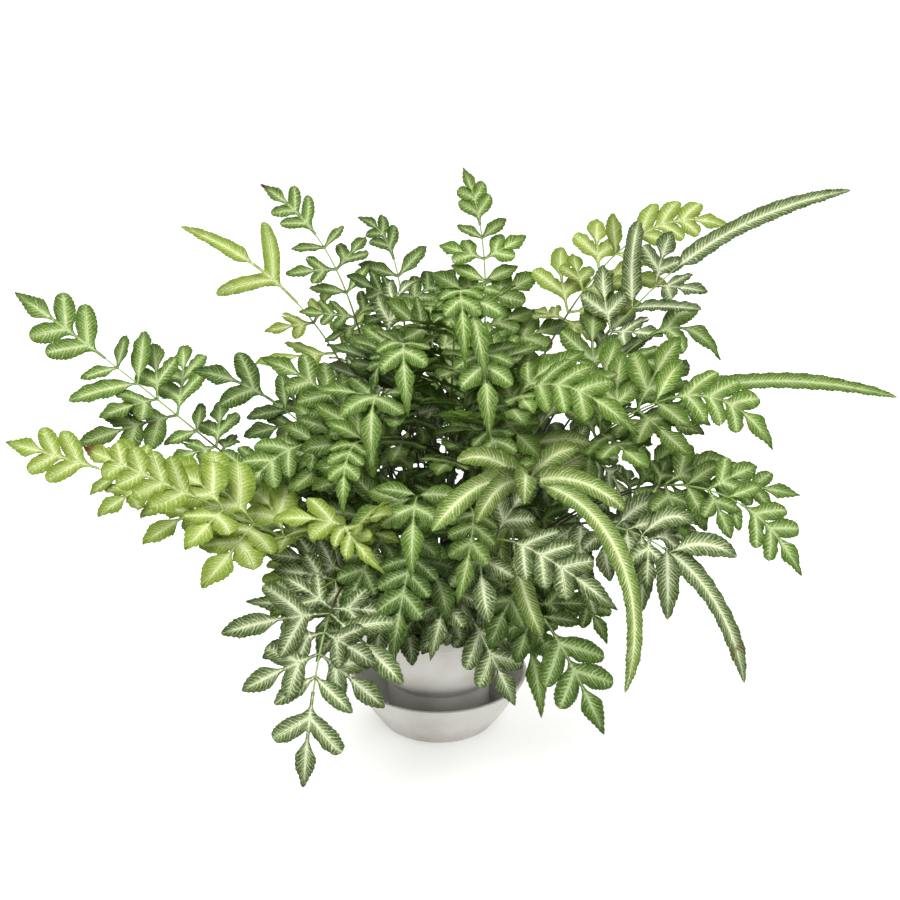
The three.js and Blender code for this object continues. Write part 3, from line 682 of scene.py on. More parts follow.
def folded(rib, s, w, lift=0.0):
    """Points at `s` along a rib and `w` beside it: a blade rises from its rib and curls down again."""
    place, _, aside, normal = rib.frame(s)
    rise = FOLD * np.abs(w) - CURL * w * w + lift
    return place + aside * w[:, None] + normal * rise[:, None], normal


def leaf_net(rib, pairs, fat, bare=0.0):
    """A coarse net of a leaf past its bare foot, to see what it touches: its points and its faces."""
    points, faces, count = [], [], 0
    for inner, outer, _, _ in leaf_halves(rib.length, pairs, fat)[0]:
        if len(inner) < EVERY:
            continue
        pick = np.unique(np.append(np.arange(0, len(inner), EVERY), len(inner) - 1))
        pick = pick[inner[pick, 0] >= bare * rib.length]
        flat = np.stack([inner[pick], outer[pick]], 1).reshape(-1, 2)
        points.append(folded(rib, *flat.T)[0])
        first = np.arange(len(pick) - 1) * 2 + count
        faces += np.stack([first, first + 1, first + 3, first + 2], 1).tolist()
        count += 2 * len(pick)
    return np.concatenate(points), faces


def way_net(way, start, end):
    """A band 2 mm wide along a way."""
    place, _, side, _ = way.frame(np.linspace(start, end, STRETCHES))
    faces = [[i, i + 1, i + 1 + STRETCHES, i + STRETCHES] for i in range(STRETCHES - 1)]
    return np.concatenate([place - side, place + side]), faces


def tree_of(nets):
    """One tree of boxes round several nets."""
    points, faces, count = [], [], 0
    for net_points, net_faces in nets:
        points += net_points.tolist()
        faces += [[corner + count for corner in face] for face in net_faces]
        count += len(net_points)
    return BVHTree.FromPolygons(points, faces)


def frond_nets(frond):
    plan = frond.plan
    nets = [way_net(frond.way, 0.3, plan.end), leaf_net(frond.end, plan.end_lobes, plan.fat)]
    return nets + [leaf_net(rib, lobes, plan.fat) for rib, lobes, _, _ in frond.sides]


GROWN = [tree_of(frond_nets(frond)) for frond in fronds]
CROWN_FACES = [list(face.vertices) for face in nodes["crown_and_stalks"].data.polygons]
GROWN.append(tree_of([(corners("crown_and_stalks"), CROWN_FACES)]))


def is_clear(net):
    own = tree_of([net])
    return not any(own.overlap(other) for other in GROWN)


def grow_side(plan, way, share, side, length, lobes, lean, seed):
    """A small side leaf at the first lift that has room, or nothing."""
    length *= 1 + 0.1 * scatter(seed)
    tilt = math.radians(lean + 8 * scatter(seed + 100))
    sag = math.radians(plan.sag * (1 + 0.3 * scatter(seed + 200)))
    for lift in LIFTS:
        rib = SideRib(way.frame(share), side, length, tilt, sag, math.radians(lift)).turn_to_light()
        net = leaf_net(rib, lobes, plan.fat)
        if is_clear(net):
            GROWN.append(tree_of([net]))
            return [(rib, lobes, seed, share)]
    return []


def grow_fingers(frond):
    """Single narrow leaves round the foot of a long end piece. Each is moved out until it has room."""
    for index, (share, tip) in enumerate(frond.plan.fingers):
        root, tip = frond.way.at(share)[0], np.array(tip, float)
        for out, arch in itertools.product(FINGERS_OUT, FINGER_ARCHES):
            rib = FingerRib(root, tip + to_light(tip) * out, arch)
            net = leaf_net(rib, 0, 0.9, 0.3)
            if is_clear(net):
                GROWN.append(tree_of([net]))
                frond.sides.append((rib, 0, 8000 + index, share))
                break


def fill_frond(frond):
    """Single leaflets, a fork under the lowest pair, and small leaves where the pairs stand wide apart."""
    plan, way, number = frond.plan, frond.way, frond.number
    for index, leaflet in enumerate(plan.leaflets):
        frond.sides += grow_side(plan, way, *leaflet, 8000 + 31 * number + index)
    pairs = len(plan.pinnae)
    step = (plan.end - plan.blade) / pairs
    reach = np.linalg.norm(way.at(plan.end) - way.at(plan.blade)) / pairs
    for side in (-1, 1):
        seed = 9000 + 31 * number + side
        low = SMALL_LEAF * plan.pinnae[0]
        frond.sides += grow_side(plan, way, plan.blade + 0.006, side, low, 1, 98, seed)
        for pair, full in enumerate(plan.pinnae):
            if reach > ROOMY:
                share = plan.blade + (pair + 0.6) * step + 0.01
                frond.sides += grow_side(plan, way, share, side, SMALL_LEAF * full, int(full > 45),
                                         plan.lean, seed + 7 * (pair + 1))


for frond in fronds:
    grow_fingers(frond)
for frond in fronds:
    fill_frond(frond)
print("side leaves", sum(len(frond.sides) for frond in fronds))

# %% [markdown]
# Young fronds fill the middle. Those in front are placed one by one and droop towards the viewer, and
# the rest follow the rule of the clump on a smaller scale. Each tries a few heights and sways until its
# end piece is clear.

# %% Young fronds in the middle
INNER = Facts(count=18, start=250, turn=137.5, back=10, reach=(34, 112), top=(186, 96), dip=(20, 46),
              foot=66)
RAISES = [0, 9, -9, 18, -18]
INNER_LEAVES = ["mid", "silver", "dark", "fresh"]
YOUNG = [
    ("mid", [(-3, -15, 160), (-5, -42, 210), (-8, -80, 182)]),
    ("mid", [(8, -12, 165), (16, -40, 220), (22, -76, 188)]),
    ("fresh", [(-8, -22, 150), (-16, -56, 188), (-23, -90, 162)]),
    ("mid", [(2, -28, 150), (6, -62, 180), (6, -97, 152)]),
    ("fresh", [(14, -20, 160), (28, -56, 212), (40, -90, 184)]),
    ("mid", [(-18, -15, 155), (-36, -46, 206), (-55, -76, 176)]),
    ("mid", [(-2, -38, 135), (-2, -80, 160), (-4, -120, 134)]),
    ("mid", [(-22, -22, 150), (-52, -50, 180), (-88, -76, 154)]),
    ("silver", [(-14, -48, 102), (-30, -78, 108), (-54, -104, 88)]),
    ("silver", [(-2, -50, 104), (-8, -84, 110), (-16, -114, 88)]),
    ("mid", [(24, -46, 104), (50, -76, 112), (72, -100, 92)]),
    ("silver", [(-6, -4, 170), (-13, -26, 226), (-26, -62, 194)]),
    ("mid", [(-10, 2, 170), (-24, -18, 236), (-46, -54, 206)]),
    ("mid", [(12, 0, 170), (22, -20, 246), (36, -56, 214)]),
    ("fresh", [(-2, 6, 180), (-4, -14, 252), (-8, -50, 222)]),
    ("mid", [(-28, -4, 150), (-54, -24, 200), (-82, -56, 174)]),
    ("mid", [(-4, -8, 165), (-8, -32, 232), (-6, -66, 206)]),
    ("fresh", [(6, -6, 165), (10, -28, 236), (14, -62, 214)]),
]
INNER_ROWS = [row(kind, path, 0.4, 0.69, [48, 38], [2, 1], end_lobes=1 + i % 3, lean=54 + 5 * (i % 4))
              for i, (kind, path) in enumerate(YOUNG)]
INNER_ROWS += [row(INNER_LEAVES[i % 4], clump_row(i, INNER).path, 0.42, 0.6, [46, 36], [1 + i % 2, 1],
                   end_lobes=2 + i % 2) for i in range(INNER.count)]


def inner_fronds():
    made = []
    for number, plan in enumerate(INNER_ROWS, 100):
        path = plan.path
        for raised, sway in itertools.product(RAISES, SWAYS):
            plan.path = [path[0], path[1] + UP * raised, path[2] + UP * raised]
            way = Way(plan, sway)
            end_rib = EndRib(way, plan.end).turn_to_light()
            nets = [way_net(way, 0.3, plan.end), leaf_net(end_rib, plan.end_lobes, 1)]
            if all(map(is_clear, nets)):
                break
        else:
            continue
        GROWN.append(tree_of(nets))
        sides = []
        for share, side, full, lobes, seed in side_places(plan, number):
            sides += grow_side(plan, way, share, side, full, lobes, plan.lean, seed)
        made.append(Facts(name=f"young_frond_{len(made) + 1:02d}", plan=plan, way=way, end=end_rib,
                          number=number, sides=sides))
        fill_frond(made[-1])
    return made


young_fronds = inner_fronds()
print("young fronds", len(young_fronds), "side leaves", sum(len(frond.sides) for frond in young_fronds))

# %% [markdown]
# ## From outline to leaf
#
# The flat plan is laid on the rib's frames, and then shaped as real fern leaves are: each half rises
# from the rib and curls down again, the blade bulges between the veins, the edge ruffles, and each lobe
# dips a little in its own way. The sheet gets an upper and a lower face and a thin wall round its edge,
# so it is a closed solid.
#
# Every point also carries numbers for the material: which vein it is on, how far across the half it
# lies, how far along the lobe, a tone for the leaf, how withered it is, and whether it is on the lower
# face.

# %% Build the sheet of a leaf
COLUMNS = np.array([0.0, 0.45, 1.0])
THICK = 0.17
VEE, VEE_CURL = 0.16, 0.02
QUILT, QUILT_ARCH, QUILT_FULL = 0.13, 2.2, 3
TILT = 0.14
RUFFLE, RUFFLE_STEP, RUFFLE_FULL = 0.55, 0.9, 4
DIP, DIP_MIDDLE, DIP_FROM = 0.9, 0.5, 2
DRY_FADE, SCAR_WIDTH = 0.05, 0.012
VEINS_APART = 40
TURN = 6.28
NUMBERS = ("vein", "across", "along", "tone", "withered", "under")


class Sheet:
    """Points, faces, ribs and numbers of one frond, gathered leaf by leaf."""

    def __init__(self):
        self.points, self.faces, self.numbers = [], [], []
        self.ribs = []
        self.count = 0

    def add_points(self, points, numbers):
        self.points.append(points)
        self.numbers.append(numbers)
        start = self.count
        self.count += len(points)
        return start

    def add_half(self, rib, inner, outer, along, side, seed, tone, dry):
        """Lays half a lobe on the rib's frames, shapes it, and closes it to a thin solid.

        It swells between the veins, ruffles towards the edge, and dips towards the lobe's tip.
        """
        rows, columns = len(inner), len(COLUMNS)
        across = np.broadcast_to(COLUMNS, (rows, columns))
        flat = inner[:, None] + (outer - inner)[:, None] * COLUMNS[None, :, None]
        width = np.linalg.norm(outer - inner, axis=1)[:, None]
        d = width * across
        row_number = np.arange(rows)[:, None]
        swell = np.where(row_number % 2, QUILT, -QUILT) * np.sin(np.clip(across, 0, 1) * QUILT_ARCH)
        swell = swell * np.minimum(1, width / QUILT_FULL)
        phase = TURN * scatter(seed + 11)
        ruffle = RUFFLE * np.sin(row_number * RUFFLE_STEP + phase) * across ** 2
        ruffle = ruffle * np.minimum(1, width / RUFFLE_FULL)
        share = along[:, None]
        dip = (DIP * scatter(seed + 13) - DIP_MIDDLE) * share ** 2 * (np.abs(outer[-1, 1]) > DIP_FROM)
        lift = (VEE + TILT * side * share) * d - VEE_CURL * d * d + swell + ruffle + dip
        s, w = flat[..., 0].ravel(), flat[..., 1].ravel()
        middle, normal = folded(rib, s, w, lift.ravel())
        veins = row_number / 2 + VEINS_APART * (1 + scatter(seed + 17))
        withered, scar = dry
        dry = np.clip((s / rib.length - withered) / DRY_FADE, 0, 1)
        dry = np.maximum(dry, np.exp(-((s / rib.length - scar) / SCAR_WIDTH) ** 2))
        facts = [np.broadcast_to(veins, (rows, columns)).ravel(), across.ravel(),
                 np.broadcast_to(share, (rows, columns)).ravel(), np.full(rows * columns, tone), dry]
        top, low = [self.add_points(middle + normal * THICK * face,
                                    np.stack([*facts, np.full(rows * columns, under)], 1))
                    for face, under in ((1, 0.0), (-1, 1.0))]
        self.close(rows, columns, top, low, turned=area_sign(flat) < 0)

    def close(self, rows, columns, top, low, turned):
        """The two faces of a grid and the wall round it."""
        grid = np.arange(rows * columns).reshape(rows, columns)
        quads = np.stack([grid[:-1, :-1], grid[:-1, 1:], grid[1:, 1:], grid[1:, :-1]], -1).reshape(-1, 4)
        loop = np.concatenate([grid[0, :-1], grid[:-1, -1], grid[-1, :0:-1], grid[:0:-1, 0]])
        if turned:
            quads, loop = quads[:, ::-1], loop[::-1]
        after = np.roll(loop, -1)
        wall = np.stack([low + loop, low + after, top + after, top + loop], 1)
        self.faces += [quads + top, quads[:, ::-1] + low, wall]


def area_sign(flat):
    """Above zero where rows and columns turn to the left, seen from the upper face."""
    across = flat[:-1, -1] - flat[:-1, 0]
    ahead = (flat[1:, 0] + flat[1:, -1] - flat[:-1, 0] - flat[:-1, -1]) / 2
    return np.sign((across[:, 1] * ahead[:, 0] - across[:, 0] * ahead[:, 1]).sum())


print("numbers on every point:", ", ".join(NUMBERS))

# %% [markdown]
# ## Ribs and midribs by Geometry Nodes
#
# A rib follows a path, so Geometry Nodes make it. Each frond's mesh carries its ribs as loose edges
# with a thickness on every point. The tree turns those edges into curves, sweeps a small round section
# along them, sets the section's material, and joins the tubes with the leaf. Mesh points on a path
# could be written by hand as well, but the tree does every frond with one set of inputs.

# %% The tree that grows ribs
def grow_tree():
    tree, inputs, outputs = new_group(
        "Grow ribs", "GeometryNodeTree",
        [("Geometry", "Geometry", None), ("Sides", "Int", 6), ("Girth", "Float", 1.0),
         ("Material", "Material", None)], [("Geometry", "Geometry")])
    is_rib = add(tree, "InputNamedAttribute", {"Name": "rib"}, data_type="BOOLEAN").outputs[0]
    thick = add(tree, "InputNamedAttribute", {"Name": "thick"}, data_type="FLOAT").outputs[0]
    parts = add(tree, "SeparateGeometry", {"Geometry": inputs["Geometry"], "Selection": is_rib},
                domain="EDGE")
    lines = add(tree, "MeshToCurve", {"Mesh": parts.outputs["Selection"]})
    section = add(tree, "CurvePrimitiveCircle", {"Resolution": inputs["Sides"], "Radius": 1.0})
    tubes = add(tree, "CurveToMesh",
                {"Curve": lines.outputs[0], "Profile Curve": section.outputs[0],
                 "Scale": thick * inputs["Girth"], "Fill Caps": True})
    dressed = add(tree, "SetMaterial",
                  {"Geometry": tubes.outputs[0], "Material": inputs["Material"]})
    round_tubes = add(tree, "SetShadeSmooth", {0: dressed.outputs[0], "Shade Smooth": True})
    joined = add(tree, "JoinGeometry")
    for piece in (round_tubes.outputs[0], parts.outputs["Inverted"]):
        fill(tree, joined.inputs[0], piece)
    real = add(tree, "RealizeInstances", {0: joined.outputs[0]})
    fill(tree, outputs["Geometry"], real.outputs[0])
    return tree


def apply_tree(piece, tree, **values):
    """Runs a tree on a piece with these inputs, keeps the mesh it makes, and takes the modifier off."""
    modifier = piece.modifiers.new(tree.name, "NODES")
    modifier.node_group = tree
    sockets = {item.name: item.identifier for item in tree.interface.items_tree if item.in_out == "INPUT"}
    for name, value in values.items():
        modifier[sockets[name.replace("_", " ")]] = value
    bpy.context.view_layer.update()
    graph = bpy.context.evaluated_depsgraph_get()
    done = piece.evaluated_get(graph)
    made = bpy.data.meshes.new_from_object(done, preserve_all_data_layers=True, depsgraph=graph)
    piece.modifiers.remove(modifier)
    old = piece.data
    piece.data = made
    bpy.data.meshes.remove(old)
    return piece


GROW_RIBS = grow_tree()
print(GROW_RIBS.name, len(GROW_RIBS.nodes), "nodes")

# %% [markdown]
# ## Leaf materials
#
# The silver of this fern is a fir-tree shaped band along every rib: a pale streak follows each vein
# outwards and ends in a point, and the edge of the lobe stays green. Colours differ from frond to
# frond, from yellow-green young ones to dark old ones with the strongest silver. So one group draws the
# band from the numbers on the leaf, one makes the mottle, and each kind of leaf places them with its
# own colours and its own reach.

# %% Groups that leaves share
def attribute(tree, name):
    return Value(add(tree, "Attribute", attribute_name=name).outputs["Fac"])


def mix(tree, share, low, high):
    return add(tree, "Mix", {0: share, 6: low, 7: high}, data_type="RGBA").outputs[2]


def place_group(tree, group, **values):
    return values_of(add(tree, "Group", values, node_tree=group).outputs)


VEINS, WAVER, WAVER_SCALE = 1.3, 1.2, 420.0
TAPER, TAPER_AT_RIB = 7.0, 1.1
CORE = 0.6


def feather_group():
    tree, inputs, outputs = new_group(
        "Silver feather", "ShaderNodeTree",
        [("Reach", "Float", 0.8), ("Streak", "Float", 0.8), ("Haze", "Float", 0.3)],
        [("Band", "Float"), ("Line", "Float"), ("Quilt", "Float")])
    vein, across, along = [attribute(tree, name) for name in ("vein", "across", "along")]
    # each vein is a peak that wavers a little, and grows thinner on its way to the edge
    place = add(tree, "TexCoord").outputs["Object"]
    noise = add(tree, "TexNoise", {"Vector": place, "Scale": WAVER_SCALE, "Detail": 1.0})
    waver = (Value(noise.outputs["Fac"]) - 0.5) * WAVER
    vein = vein * VEINS + waver
    peak = 1.0 - maths(tree, "PINGPONG", vein, 0.5) * 2.0
    sharp = peak ** (across * TAPER + TAPER_AT_RIB)
    # each streak has its own reach and strength, and frays
    number = maths(tree, "ROUND", vein)
    own = add(tree, "TexWhiteNoise", {"W": number}, noise_dimensions="1D").outputs
    reach = inputs["Reach"] * Value(own["Value"]).remap(0.0, 1.0, 0.7, 1.2)
    fade = 1.0 - maths(tree, "SMOOTH_MIN", across / reach, 1.0, 0.3)
    noise = add(tree, "TexNoise", {"W": vein, "Scale": 3.1, "Detail": 3.0}, noise_dimensions="1D")
    frayed = Value(noise.outputs["Fac"]).remap(0.25, 0.75, 0.65, 1.25)
    streak = sharp * frayed * fade ** 0.45
    streak = streak * (inputs["Streak"] * Value(own["Color"]).remap(0.0, 1.0, 0.5, 1.15))
    # a haze round the rib, a full core on it, and less of all at the lobe's tip
    haze = across.remap(0.62, 0.05) * inputs["Haze"]
    core = across.remap(0.22, 0.06) * (inputs["Streak"] * CORE)
    tip = along.remap(0.8, 1.0, 1.0, 0.45)
    band = maths(tree, "MAXIMUM", streak, core) + haze
    fill(tree, outputs["Band"], maths(tree, "MULTIPLY", band, tip, clamp=True))
    fill(tree, outputs["Line"], peak.remap(0.82, 1.0) * across.remap(1.0, 0.75))
    fill(tree, outputs["Quilt"], (1.0 - sharp) * across.remap(0.0, 0.3))
    return tree


def mottle_group():
    tree, inputs, outputs = new_group(
        "Mottle", "ShaderNodeTree", [("Size", "Float", 0.01), ("Grain", "Float", 3.0)],
        [("Value", "Float")])
    place = add(tree, "TexCoord").outputs["Object"]
    noise = add(tree, "TexNoise",
                {"Vector": place, "Scale": 1.0 / inputs["Size"], "Detail": inputs["Grain"]})
    fill(tree, outputs["Value"], Value(noise.outputs["Fac"]).remap(0.3, 0.7))
    return tree


FEATHER = feather_group()
MOTTLE = mottle_group()
for group in (FEATHER, MOTTLE):
    print(group.name, len(group.nodes), "nodes")

# %% [markdown]
# Six kinds of leaf share one recipe. `edge` and `flesh` are the greens, `silver` the colour of the
# feather, and `reach`, `streak` and `haze` say how far it goes and how strong it is. Light also shines
# through the blade.

# %% One material for each kind of leaf
LEAVES = {
    # kind: (edge, flesh, silver, reach, streak, haze)
    "young": (srgb(104, 128, 24), srgb(138, 160, 54), srgb(224, 230, 178), 0.90, 0.85, 0.24),
    "fresh": (srgb(62, 94, 6), srgb(92, 127, 24), srgb(212, 222, 168), 0.85, 0.84, 0.18),
    "mid": (srgb(58, 88, 6), srgb(88, 124, 24), srgb(214, 225, 172), 0.85, 0.84, 0.18),
    "dark": (srgb(42, 70, 4), srgb(66, 98, 18), srgb(194, 208, 156), 0.78, 0.86, 0.14),
    "silver": (srgb(44, 68, 6), srgb(74, 102, 24), srgb(234, 240, 202), 1.00, 0.98, 0.22),
    "pale": (srgb(72, 98, 20), srgb(104, 132, 42), srgb(230, 238, 184), 1.00, 1.00, 0.24),
}
DRY = srgb(96, 66, 38)
# how much each part of the recipe counts
BLOTCH, SPECKLE, LINE, SHINE, THROUGH = 0.35, 0.12, 0.18, 0.03, 0.28
UNDERSIDE, UNDERSIDE_GREEN, SILVER_BELOW = 0.35, srgb(100, 134, 46), 0.25


def empty_material(name):
    material = bpy.data.materials.new(name)
    material.use_nodes = True
    return material, material.node_tree


def leaf_material(kind):
    edge, flesh, silver, reach, streak, haze = LEAVES[kind]
    material, tree = empty_material(f"leaf_{kind}")
    tree.nodes.clear()
    feather = place_group(tree, FEATHER, Reach=reach, Streak=streak, Haze=haze)
    blotch = mottle(tree, 0.014, 2.0)
    speckle = mottle(tree, 0.0012, 3.0)
    across, tone, withered, under = [attribute(tree, n) for n in ("across", "tone", "withered", "under")]
    green = mix(tree, across.remap(0.2, 1.0), flesh, edge)
    green = mix(tree, blotch * BLOTCH, green, edge)
    green = mix(tree, speckle * SPECKLE, green, silver)
    pale = feather["Band"] * speckle.remap(0.0, 1.0, 0.82, 1.0)
    pale = pale * under.remap(0.0, 1.0, 1.0, SILVER_BELOW)
    colour = mix(tree, pale, green, silver)
    colour = mix(tree, feather["Line"] * LINE, colour, silver)
    colour = mix(tree, under * UNDERSIDE, colour, UNDERSIDE_GREEN)
    brightness = tone.remap(0, 1, 0.8, 1.2)
    bright = add(tree, "HueSaturation", {"Color": colour, "Value": brightness})
    colour = mix(tree, withered, bright.outputs[0], DRY)
    bump = add(tree, "Bump", {"Height": feather["Quilt"], "Strength": 0.5, "Distance": 0.0004})
    fine = add(tree, "Bump", {"Height": speckle, "Strength": 0.25, "Distance": 0.0002,
                              "Normal": bump.outputs[0]})
    shader = add(tree, "BsdfPrincipled",
                 {"Base Color": colour, "Roughness": speckle.remap(0.0, 1.0, 0.48, 0.64),
                  "Normal": fine.outputs[0]})
    shader.inputs["Specular IOR Level"].default_value = SHINE
    light = add(tree, "BsdfTranslucent", {"Color": colour, "Normal": fine.outputs[0]})
    both = add(tree, "MixShader", {0: THROUGH, 1: shader.outputs[0], 2: light.outputs[0]})
    add(tree, "OutputMaterial", {"Surface": both.outputs[0]})
    return material


def principled(name, colour, roughness, bump=None):
    """A plain material. Its colour, roughness and bump are functions that add their nodes to its tree."""
    material, tree = empty_material(name)
    shader = tree.nodes["Principled BSDF"]
    for socket, maker in (("Base Color", colour), ("Roughness", roughness), ("Normal", bump)):
        if maker:
            fill(tree, shader.inputs[socket], maker(tree))
    return material


def bumped(height, strength, distance):
    return lambda tree: add(tree, "Bump", {"Height": height(tree), "Strength": strength,
                                           "Distance": distance}).outputs[0]


def mottle(tree, size, grain):
    return place_group(tree, MOTTLE, Size=size, Grain=grain)["Value"]


def mottled(low, high, size, grain=3.0):
    return lambda tree: mix(tree, mottle(tree, size, grain), low, high)


def mottle_value(size, low=0.0, high=1.0, grain=3.0):
    return lambda tree: mottle(tree, size, grain).remap(0, 1, low, high)


def midrib_colour(tree):
    along = attribute(tree, "along")
    green = mix(tree, attribute(tree, "tone"), srgb(86, 116, 48), srgb(150, 178, 96))
    return mix(tree, along.remap(0.0, 0.35), srgb(52, 50, 30), green)


LEAF_MATERIALS = {kind: leaf_material(kind) for kind in LEAVES}
MIDRIB = principled("midrib", midrib_colour, mottle_value(0.002, 0.42, 0.6),
                    bumped(mottle_value(0.0008), 0.3, 0.0002))
print("leaf materials", sorted(LEAF_MATERIALS))

# %% [markdown]
# ## Grow every frond
#
# Each frond is one piece: its leaves, its midrib, and a fine rib in every lobe. The first forty stand
# for the solids of the same names. The young fronds stand for none, and all of them ride on the one
# body.

# %% Grow the fronds
RIB_STEP, RIB_ENDS_AT, RIB_THICK, RIB_SUNK = 4, 0.97, (0.34, 0.14), 0.1
MIDRIB_POINTS, MIDRIB_THICK = 14, (0.62, 0.42)
NOT_DRY = (LEAF["withered"], LEAF["scar"])


def add_leaf(sheet, rib, pairs, fat, seed, tone, dry=NOT_DRY, pointed=False):
    """One leaf and its ribs. `dry` holds the shares where it withers and where its dry band lies."""
    halves, ribs = leaf_halves(rib.length, pairs, fat, pointed)
    for index, (inner, outer, along, side) in enumerate(halves):
        sheet.add_half(rib, inner, outer, along, side, seed + 5 * (index // 2), tone, dry)
    for line in ribs:
        count = max(5, round(np.linalg.norm(line[1] - line[0]) / RIB_STEP))
        share = np.linspace(0, RIB_ENDS_AT, count)[:, None]
        flat = line[0] + (line[1] - line[0]) * share
        points = folded(rib, *flat.T, -RIB_SUNK)[0]
        sheet.ribs.append((points, between(RIB_THICK, share[:, 0]), np.full(count, 0.6), tone))


def frond_piece(frond):
    """The fine mesh of a frond, with the midrib from the first side leaf to the end piece."""
    plan, way, number = frond.plan, frond.way, frond.number
    sheet = Sheet()
    for rib, pairs, seed, _ in frond.sides:
        tone = 0.5 + 0.45 * scatter(seed + 400)
        add_leaf(sheet, rib, pairs, plan.fat, seed, tone)
    dry = (plan.withered, plan.scar)
    add_leaf(sheet, frond.end, plan.end_lobes, plan.fat, 31 * number + 23, 0.6, dry, True)
    stretch = np.linspace(plan.blade, plan.end, MIDRIB_POINTS)
    sheet.ribs.append((way.at(stretch), np.linspace(*MIDRIB_THICK, MIDRIB_POINTS),
                       np.linspace(0, 0.8, MIDRIB_POINTS), 0.5))
    return sheet_object(frond.name + "_fine", sheet)


def sheet_object(name, sheet):
    """A mesh of the sheet's faces, with its ribs as loose edges that carry a thickness."""
    counts = [len(points) for points, _, _, _ in sheet.ribs]
    starts = np.cumsum([0] + counts)
    points = np.concatenate(sheet.points + [points for points, _, _, _ in sheet.ribs]) * MM
    edges = [np.stack([np.arange(a, b - 1), np.arange(a + 1, b)], 1) + sheet.count
             for a, b in zip(starts, starts[1:])]
    faces = [face for block in sheet.faces for face in block.tolist()]
    mesh = bpy.data.meshes.new(name)
    mesh.from_pydata(points, np.concatenate(edges).tolist(), faces)
    on_ribs = np.zeros((starts[-1], len(NUMBERS)))
    on_ribs[:, NUMBERS.index("along")] = np.concatenate([along for _, _, along, _ in sheet.ribs])
    on_ribs[:, NUMBERS.index("tone")] = np.repeat([tone for _, _, _, tone in sheet.ribs], counts)
    numbers = np.concatenate(sheet.numbers + [on_ribs])
    thick = np.concatenate([np.zeros(sheet.count)] + [thick * MM for _, thick, _, _ in sheet.ribs])
    for label, values in (*zip(NUMBERS, numbers.T), ("thick", thick)):
        layer = mesh.attributes.new(label, "FLOAT", "POINT")
        layer.data.foreach_set("value", values.astype(np.float32))
    ends = np.zeros(len(mesh.edges) * 2, np.int32)
    mesh.edges.foreach_get("vertices", ends)
    loose = ends.reshape(-1, 2).min(1) >= sheet.count
    mesh.attributes.new("rib", "BOOLEAN", "EDGE").data.foreach_set("value", loose)
    mesh.shade_smooth()
    return placed(name, mesh)


def belongs(piece, stands_for=None):
    """Every piece rides on the one body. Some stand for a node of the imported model."""
    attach(piece, "root")
    if stands_for:
        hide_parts(stands_for)


triangles = 0
for frond in fronds + young_fronds:
    piece = frond_piece(frond)
    piece.data.materials.append(LEAF_MATERIALS[frond.plan.leaf])
    piece.data.set_sharp_from_angle(angle=math.radians(55))
    apply_tree(piece, GROW_RIBS, Sides=5, Girth=1.0, Material=MIDRIB)
    triangles += sum(len(face.vertices) - 2 for face in piece.data.polygons)
    belongs(piece,
            frond.name if frond.name in nodes else None)
print("frond triangles", triangles)

# %% [markdown]
# ## Pot and saucer
#
# Both are turned shapes: an outline of radius and height, carried round the upright axis. The outline
# is drawn with the same sizes as the solids, but with rounded lips and smooth curves. Turning it in
# code keeps the lips exact and the pole closed.

# %% Turn the pot and the saucer
SAUCER = Facts(base=33, rim=51.5, height=30, wall=2.2, floor=2.4, bulge=(43, 13))
POT = Facts(top=74, rim=54, lip=6, neck=52.4, belly=34, belly_z=32, foot=29.5, step=5, wall=2.2, floor=3,
            bulge=(46, 42))
CLEARANCE = 0.3
ROUND = 88


def curve(start, control, end, count=14):
    t = np.linspace(0, 1, count)[:, None]
    start, control, end = [np.array(point, float) for point in (start, control, end)]
    return list(bow(t, start, control, end))


def rounded(points, radius, count=4):
    """Rounds the corners of an outline by cutting each with a small curve."""
    points = [np.array(point, float) for point in points]
    made = [points[0]]
    for before, corner, after in zip(points, points[1:], points[2:]):
        back, ahead = before - corner, after - corner
        cut = min(radius, 0.45 * np.linalg.norm(back), 0.45 * np.linalg.norm(ahead))
        made += curve(corner + unit(back) * cut, corner, corner + unit(ahead) * cut, count)
    return made + [points[-1]]


def turned(name, outline, material, roundness=ROUND):
    """A closed shape of revolution from an outline that starts and ends on the axis."""
    inner = np.array(outline[1:-1]) * MM
    angles = np.arange(roundness) * 2 * math.pi / roundness
    ring = np.stack([np.outer(inner[:, 0], np.cos(angles)), np.outer(inner[:, 0], np.sin(angles)),
                     np.repeat(inner[:, 1:], roundness, 1)], -1).reshape(-1, 3)
    points = np.concatenate([ring, [(0, 0, outline[0][1] * MM), (0, 0, outline[-1][1] * MM)]])
    grid = np.arange(len(ring)).reshape(len(inner), roundness)
    after = np.roll(grid, -1, 1)
    quads = np.stack([grid[:-1], after[:-1], after[1:], grid[1:]], -1).reshape(-1, 4).tolist()
    low = [[len(ring), b, a] for a, b in zip(grid[0], after[0])]
    high = [[len(ring) + 1, a, b] for a, b in zip(grid[-1], after[-1])]
    mesh = bpy.data.meshes.new(name)
    mesh.from_pydata(points, [], low + quads + high)
    mesh.shade_smooth()
    mesh.set_sharp_from_angle(angle=math.radians(50))
    mesh.materials.append(material)
    return placed(name, mesh)


def pot_wall(inset, upwards):
    rise = inset * 0.35
    belly = (POT.belly - inset, POT.belly_z + rise)
    bulge = (POT.bulge[0] - inset, POT.bulge[1] + rise)
    neck = (POT.neck - inset, POT.top - POT.lip)
    line = curve(belly, bulge, neck)
    return line if upwards else line[::-1]


